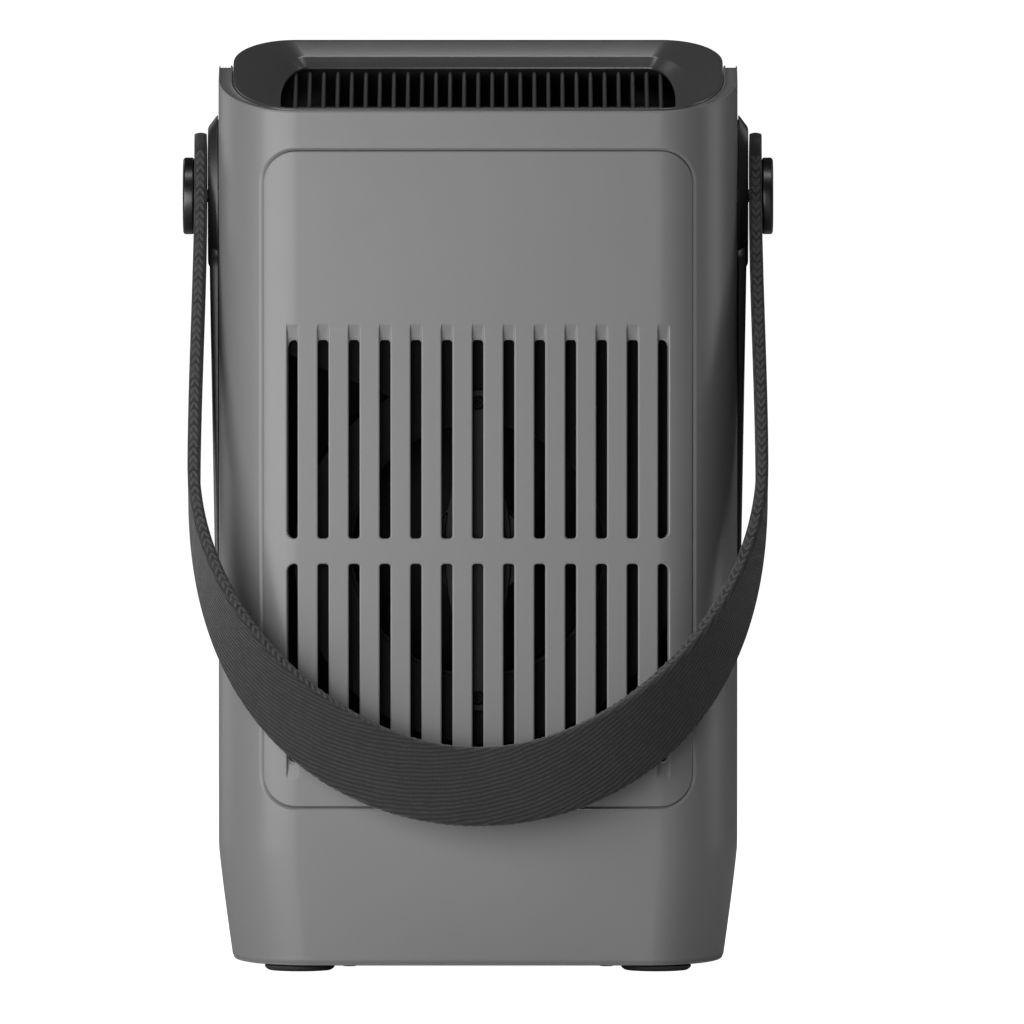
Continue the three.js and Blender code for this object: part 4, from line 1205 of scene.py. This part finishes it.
def strap_ribbon():
    """The woven ribbon, ribbed along its length, with padded edges."""
    points, ahead, wide, thick, half = strap_line()
    travelled = np.concatenate([[0], np.cumsum(np.linalg.norm(np.diff(points, axis=0), axis=1))])
    ribs, per_rib = 19, 4
    count = ribs * per_rib
    across = np.linspace(-1, 1, count + 1)
    face = 1.92 + 0.03 * np.abs(np.sin(np.linspace(0, ribs * math.pi, count + 1)))
    face[[0, -1]] = 1.55
    edge_turn = np.linspace(-math.pi / 2, math.pi / 2, 7)[1:-1]
    rows = []
    tip = np.clip(np.minimum(travelled, travelled[-1] - travelled) / 1.6, 0, 1)
    thin = np.sqrt(np.maximum(1 - (1 - tip) ** 2, 0.06))
    for point, out, through, reach in zip(points, wide, thick * thin[:, None], half):
        flat = np.maximum(reach - 0.8, 0.05)
        top = np.column_stack([across * flat, face])
        right = np.column_stack([flat + 0.55 * np.cos(edge_turn), -1.55 * np.sin(edge_turn)])
        section = np.concatenate([top, right, (top * (1, -1))[::-1], (right * (-1, 1))[::-1]])
        rows.append(point + section[:, :1] * out + section[:, 1:] * through)
    shape = Shape()
    shape.loft(rows)
    ribbon = build("strap_webbing", shape, crease=75)
    widths = np.concatenate([across * 11.7, np.full(5, 12.2), -across * 11.7, np.full(5, -12.2)])
    layer = ribbon.data.uv_layers.new(name="weave")
    where = np.zeros(len(ribbon.data.loops), int)
    ribbon.data.loops.foreach_get("vertex_index", where)
    ring_size = len(widths)
    coordinates = np.column_stack([travelled[where // ring_size], widths[where % ring_size]])
    layer.data.foreach_set("uv", coordinates.astype(np.float32).ravel())
    return ribbon


def strand_part(long, wide, high):
    """One float of the edge braid, a low pillow along X."""
    shape = Shape()
    rings = []
    for share in np.linspace(-1, 1, 7):
        swell = math.sqrt(max(0.02, 1 - share ** 2)) ** 0.7
        arc = np.arange(8) * math.pi / 4
        rings.append(np.column_stack([np.full(8, share * long / 2), swell * wide / 2 * np.cos(arc),
                                      swell * high / 2 * np.sin(arc)]))
    shape.loft(rings)
    return part_at_origin("braid_float", shape)


def edge_braid():
    """Chevrons of yarn along both edges of the webbing, one slanted float each side of the edge's middle."""
    points, ahead, wide, thick, half = strap_line()
    travelled = np.concatenate([[0], np.cumsum(np.linalg.norm(np.diff(points, axis=0), axis=1))])
    pitch, slant, row_offset = 2.5, math.radians(27), 0.52
    places = np.arange(9.0, travelled[-1] - 9.0, pitch)

    def along(values):
        return np.column_stack([np.interp(places, travelled, values[:, axis])
                                for axis in range(values.shape[1])])

    middle, on, out, through = along(points), along(ahead), along(wide), along(thick)
    reach = np.interp(places, travelled, half)[:, None]
    spots, facings = [], []
    for edge in (-1, 1):
        for row in (-1, 1):
            centres = middle + out * edge * (reach - 0.45) + through * row * row_offset
            for centre, forward, side, up in zip(centres, on, out * edge, through * row):
                lie = forward * math.cos(slant) + up * math.sin(slant)
                lie /= np.linalg.norm(lie)
                normal = side / np.linalg.norm(side)
                cross = np.cross(normal, lie)
                turn = Matrix([[lie[i], cross[i], normal[i]] for i in range(3)]).to_euler()
                spots.append(spot(*centre))
                facings.append(tuple(turn))
    return repeated("strap_edge_braid", spots_tree, strand_part(2.9, 0.95, 0.68), braid_yarn, spots, facings)


finish(strap_ribbon(), webbing, "webbing", "strap", "strap")
finish(edge_braid(), braid_yarn, "webbing", "strap")


# ---- keys ----
def control_key(node, name):
    low, high = box(node)
    face, z = high[1] - middle_y, (low[2] + high[2]) / 2
    back = low[1] - middle_y
    profile = [(0.01, back), (2, back), (2, face - 5.2), (8.2, face - 5.2), (8.2, face - 4.0),
               (7, face - 4.0),
               (7, face - 0.9), (6.1, face), (4.6, face), (3.9, face - 0.35), (0.01, face - 0.5)]
    shape = Shape()
    shape.loft([ring + (0, 0, z) for ring in turned(profile, "y", 64, 0.3)])
    return build(name, shape)


finish(control_key("power_button", "power_key_cap"), key_dark, "control", "power_key", "power_button")
finish(control_key("speed_button", "speed_key_cap"), key_dark, "control", "speed_key", "speed_button")


# ---- screws ----
def screw_part(shank_radius, head_radius, head_height, length):
    """A pan-head screw along +Z, head down at z 0, with a cross recess."""
    shape = Shape()
    profile = [(0.01, 0), (head_radius * 0.7, 0), (head_radius, head_height * 0.45),
               (head_radius, head_height),
               (shank_radius, head_height)]
    profile += [(shank_radius * (0.86 if i % 2 else 1.0), head_height + 0.35 * (i + 1))
                for i in range(int(length / 0.35) - 2)]
    profile += [(0.01, head_height + length)]
    shape.loft(turned(profile, "z", 24, 0.12, 2))
    screw = part_at_origin("screw_part", shape)
    for turn in (0, 90):
        recess = Shape()
        wide, long = head_radius * 0.16, head_radius * 0.55
        rows = [np.array([(-long, -wide, z), (long, -wide, z), (long, wide, z), (-long, wide, z)])
                for z in (-1, 0.8)]
        rows[1] *= (0.6, 1, 1)
        recess.loft(rows)
        tool = part_at_origin("recess", recess)
        tool.data.transform(Matrix.Rotation(math.radians(turn), 4, "Z"))
        carve(screw, tool)
    return screw


base_screw_sink = 1.1


def screw_set(name, nodes, axis, head_sign, sizes, material=screw_steel):
    """Screws in place of CAD ones; axis is 'y' or 'z' and head_sign says which end the head is on."""
    index = {"x": 0, "y": 1, "z": 2}[axis]
    spots = []
    for node in nodes:
        low, high = box(node)
        centre = (low + high) / 2
        centre[index] = high[index] if head_sign > 0 else low[index] + (base_screw_sink if axis == "z" else 0)
        spots.append(tuple(centre / 1000))
    facing = {("y", 1): (math.pi / 2, 0, 0), ("y", -1): (-math.pi / 2, 0, 0),
              ("z", -1): (0, 0, 0)}[axis, head_sign]
    length = (box(nodes[0])[1] - box(nodes[0])[0])[index] - sizes[2]
    return repeated(name, spots_tree, screw_part(*sizes, length), material, spots, [facing] * len(spots))


case_screws = [f"case_screw_{i}" for i in (1, 2, 3, 4)]
base_screws = [f"base_screw_{i}" for i in (1, 2, 3, 4)]
carrier_screws = [f"carrier_screw_{i}" for i in (1, 2)]
finish(screw_set("case_screw_set", case_screws, "y", 1, (1.5, 2.8, 1.8)),
       screw_steel, "screw_steel", "casing", *case_screws)
finish(screw_set("base_screw_set", base_screws, "z", -1, (1.5, 2.8, 1.4)),
       screw_steel, "screw_steel", "casing", *base_screws)
finish(screw_set("carrier_screw_set", carrier_screws, "y", -1, (1.5, 2.2, 1.2), screw_black),
       screw_black, "screw_steel", "casing", *carrier_screws)


# ---- fan wheel ----
def fan_wheel():
    low, high = box("impeller")
    front, back = low[1] - middle_y, high[1] - middle_y
    radius, inner = (high[0] - low[0]) / 2, (high[0] - low[0]) / 2 - 11
    blades = 24
    blade = Shape()
    rings = []
    for share in np.linspace(0, 1, 10):
        reach = inner + 0.6 + (radius - inner - 1.2) * share
        turn = 0.17 * share * share
        centre = np.array([reach * math.cos(turn), reach * math.sin(turn)])
        lie = np.array([-math.sin(turn), math.cos(turn)])
        swell = 0.35 + 0.3 * math.sin(math.pi * min(1, share + 0.15))
        section = [(-swell, front + 0.8), (swell, front + 0.8), (swell, back - 1), (-swell, back - 1)]
        rings.append(np.array([(*(centre + lie * a), y) for a, y in section])[:, (0, 2, 1)])
    blade.loft(rings)
    part = part_at_origin("blade_part", blade)
    start = (0, middle_y / 1000, slots_z / 1000)
    wheel = repeated("fan_wheel_blades", row_tree, part, wheel_black, Count=blades, Start=start,
                     Step=(0, 0, 0), Turn=2 * math.pi / blades)
    hub_front = back - 9
    solid = Shape()
    profile = [(1.8, back - 1), (1.8, hub_front), (6, hub_front), (7.2, back - 3), (radius, back - 2),
               (radius, back), (0.01, back)]
    solid.loft([ring + (0, 0, slots_z) for ring in turned([(0.01, back - 1), *profile], "y", 96, 0.5)])
    hoop = [(inner, front), (radius, front), (radius, front + 1.6), (inner, front + 1.6),
            (inner, front), (radius, front)]
    rings = [ring + (0, 0, slots_z) for ring in turned(hoop, "y", 96, 0.3)][1:-1]
    rows = [solid.ring(ring) for ring in rings]
    solid.bands([*rows, rows[0]])
    finish(build("fan_wheel_discs", solid), wheel_black, "wheel", "fan_rotor")
    return wheel


finish(fan_wheel(), wheel_black, "wheel", "fan_rotor", "impeller")


# ---- inner pieces whose shape is already right get rounded edges and a finish ----
def dressed(node, name, material, slot, body, edge):
    """A cleaned copy of a CAD node, with its edges rounded."""
    piece = bpy.data.objects.new(name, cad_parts[node].data.copy())
    bpy.context.scene.collection.objects.link(piece)
    piece.data.materials.clear()
    clean = bmesh.new()
    clean.from_mesh(piece.data)
    bmesh.ops.remove_doubles(clean, verts=clean.verts, dist=1e-6)
    bmesh.ops.dissolve_limit(clean, angle_limit=math.radians(0.5), verts=clean.verts, edges=clean.edges)
    clean.to_mesh(piece.data)
    clean.free()
    piece.data.polygons.foreach_set("use_smooth", [True] * len(piece.data.polygons))
    piece.data.set_sharp_from_angle(angle=math.radians(32))
    soften(piece, edge, 2, 34)
    return finish(piece, material, slot, body, node)


dressed("base_plate", "base_cover", casing_dark, "dark_casing", "casing", 0.35)
dressed("fan_housing", "scroll_housing", inner_black, "inner_plastic", "casing", 0.3)
dressed("inlet_plate", "inlet_ring_plate", inner_black, "inner_plastic", "casing", 0.3)
dressed("motor_carrier", "motor_spider", wheel_black, "inner_plastic", "casing", 0.4)
dressed("battery_cradle", "cell_tray", inner_black, "inner_plastic", "casing", 0.4)
dressed("charging_socket", "socket_shell", screw_steel, "screw_steel", "casing", 0.12)

cell_wrap, board_mask = cell_sleeve(), circuit_board()
kept = {
    "motor_can": (motor_steel, "motor_steel"), "motor_endcap": (inner_black, "inner_plastic"),
    "motor_rotor": (motor_steel, "motor_steel"), "motor_shaft": (motor_steel, "motor_steel"),
    "bearing_front": (motor_steel, "motor_steel"), "bearing_rear": (motor_steel, "motor_steel"),
    "control_board": (board_mask, "board"),
    **{f"battery_cell_{i}": (cell_wrap, "cell_wrap") for i in (1, 2, 3, 4)},
    **{f"pivot_bush_{label}": (inner_black, "inner_plastic") for label in ("left", "right")},
    **{f"pivot_screw_{label}": (screw_steel, "screw_steel") for label in ("left", "right")},
}
for node, (material, slot) in kept.items():
    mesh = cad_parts[node].data
    mesh.materials.clear()
    mesh.materials.append(material)


# ---- floor, lights and camera ----
def floor():
    mesh = bpy.data.meshes.new("studio_floor")
    reach = 40
    mesh.from_pydata([(-reach, -reach, -0.0002), (reach, -reach, -0.0002), (reach, reach, -0.0002),
                      (-reach, reach, -0.0002)], [], [(0, 1, 2, 3)])
    made = Finish("floor_paper")
    tone = made.noise(3, 4)
    seen = made.node("ShaderNodeLightPath")
    paper = made.blend(tone, grey(0.86), grey(0.9))
    made.set(Base_Color=made.blend(seen, grey(0.55), paper), Roughness=0.9)
    made.set(Emission_Color=made.blend(seen, grey(0.0), grey(1.0)), Emission_Strength=1.0)
    mesh.materials.append(made.material)
    plane = bpy.data.objects.new("studio_floor", mesh)
    bpy.context.scene.collection.objects.link(plane)


def softbox(name, azimuth, elevation, distance, size, power, aim=(0, 0, 0.15)):
    """An area light; azimuth 0 is in front of the fan and goes round to the left as it grows."""
    light = bpy.data.lights.new(name, "AREA")
    light.shape = "RECTANGLE"
    light.size, light.size_y = size
    light.energy = power
    lamp = bpy.data.objects.new(name, light)
    a, e = math.radians(azimuth), math.radians(elevation)
    offset = Vector((-math.sin(a) * math.cos(e), -math.cos(a) * math.cos(e), math.sin(e))) * distance
    lamp.location = Vector(aim) + offset
    lamp.rotation_euler = (-offset).to_track_quat("-Z", "Y").to_euler()
    lamp.visible_camera = False
    bpy.context.scene.collection.objects.link(lamp)


def studio():
    world = bpy.data.worlds.new("studio")
    world.use_nodes = True
    world.node_tree.nodes["Background"].inputs["Color"].default_value = (1, 1, 1, 1)
    world.node_tree.nodes["Background"].inputs["Strength"].default_value = 0.06
    bpy.context.scene.world = world
    softbox("key", 38, 3, 0.62, (0.9, 0.36), 4.9)
    softbox("left_rim", 140, 17, 0.8, (0.3, 0.8), 0.6)
    softbox("right_rim", -112, 17, 0.8, (0.3, 0.8), 1.0)
    softbox("top", 0, 71, 1.0, (1.2, 0.18), 4.0)


def camera():
    """A long lens just above the front's middle."""
    data = bpy.data.cameras.new("camera")
    data.sensor_width = 36
    distance, view_width, elevation = 9.0, 0.320, math.radians(3)
    data.lens = data.sensor_width * distance / view_width
    data.clip_end = 100
    eye = bpy.data.objects.new("camera", data)
    target = Vector((0.0106, middle_y / 1000, 0.1411))
    eye.location = target + Vector((0, -math.cos(elevation), math.sin(elevation))) * distance
    eye.rotation_euler = (math.pi / 2 - elevation, 0, 0)
    bpy.context.scene.collection.objects.link(eye)
    bpy.context.scene.camera = eye


floor()
studio()
camera()
bpy.context.scene.view_settings.view_transform = "Standard"
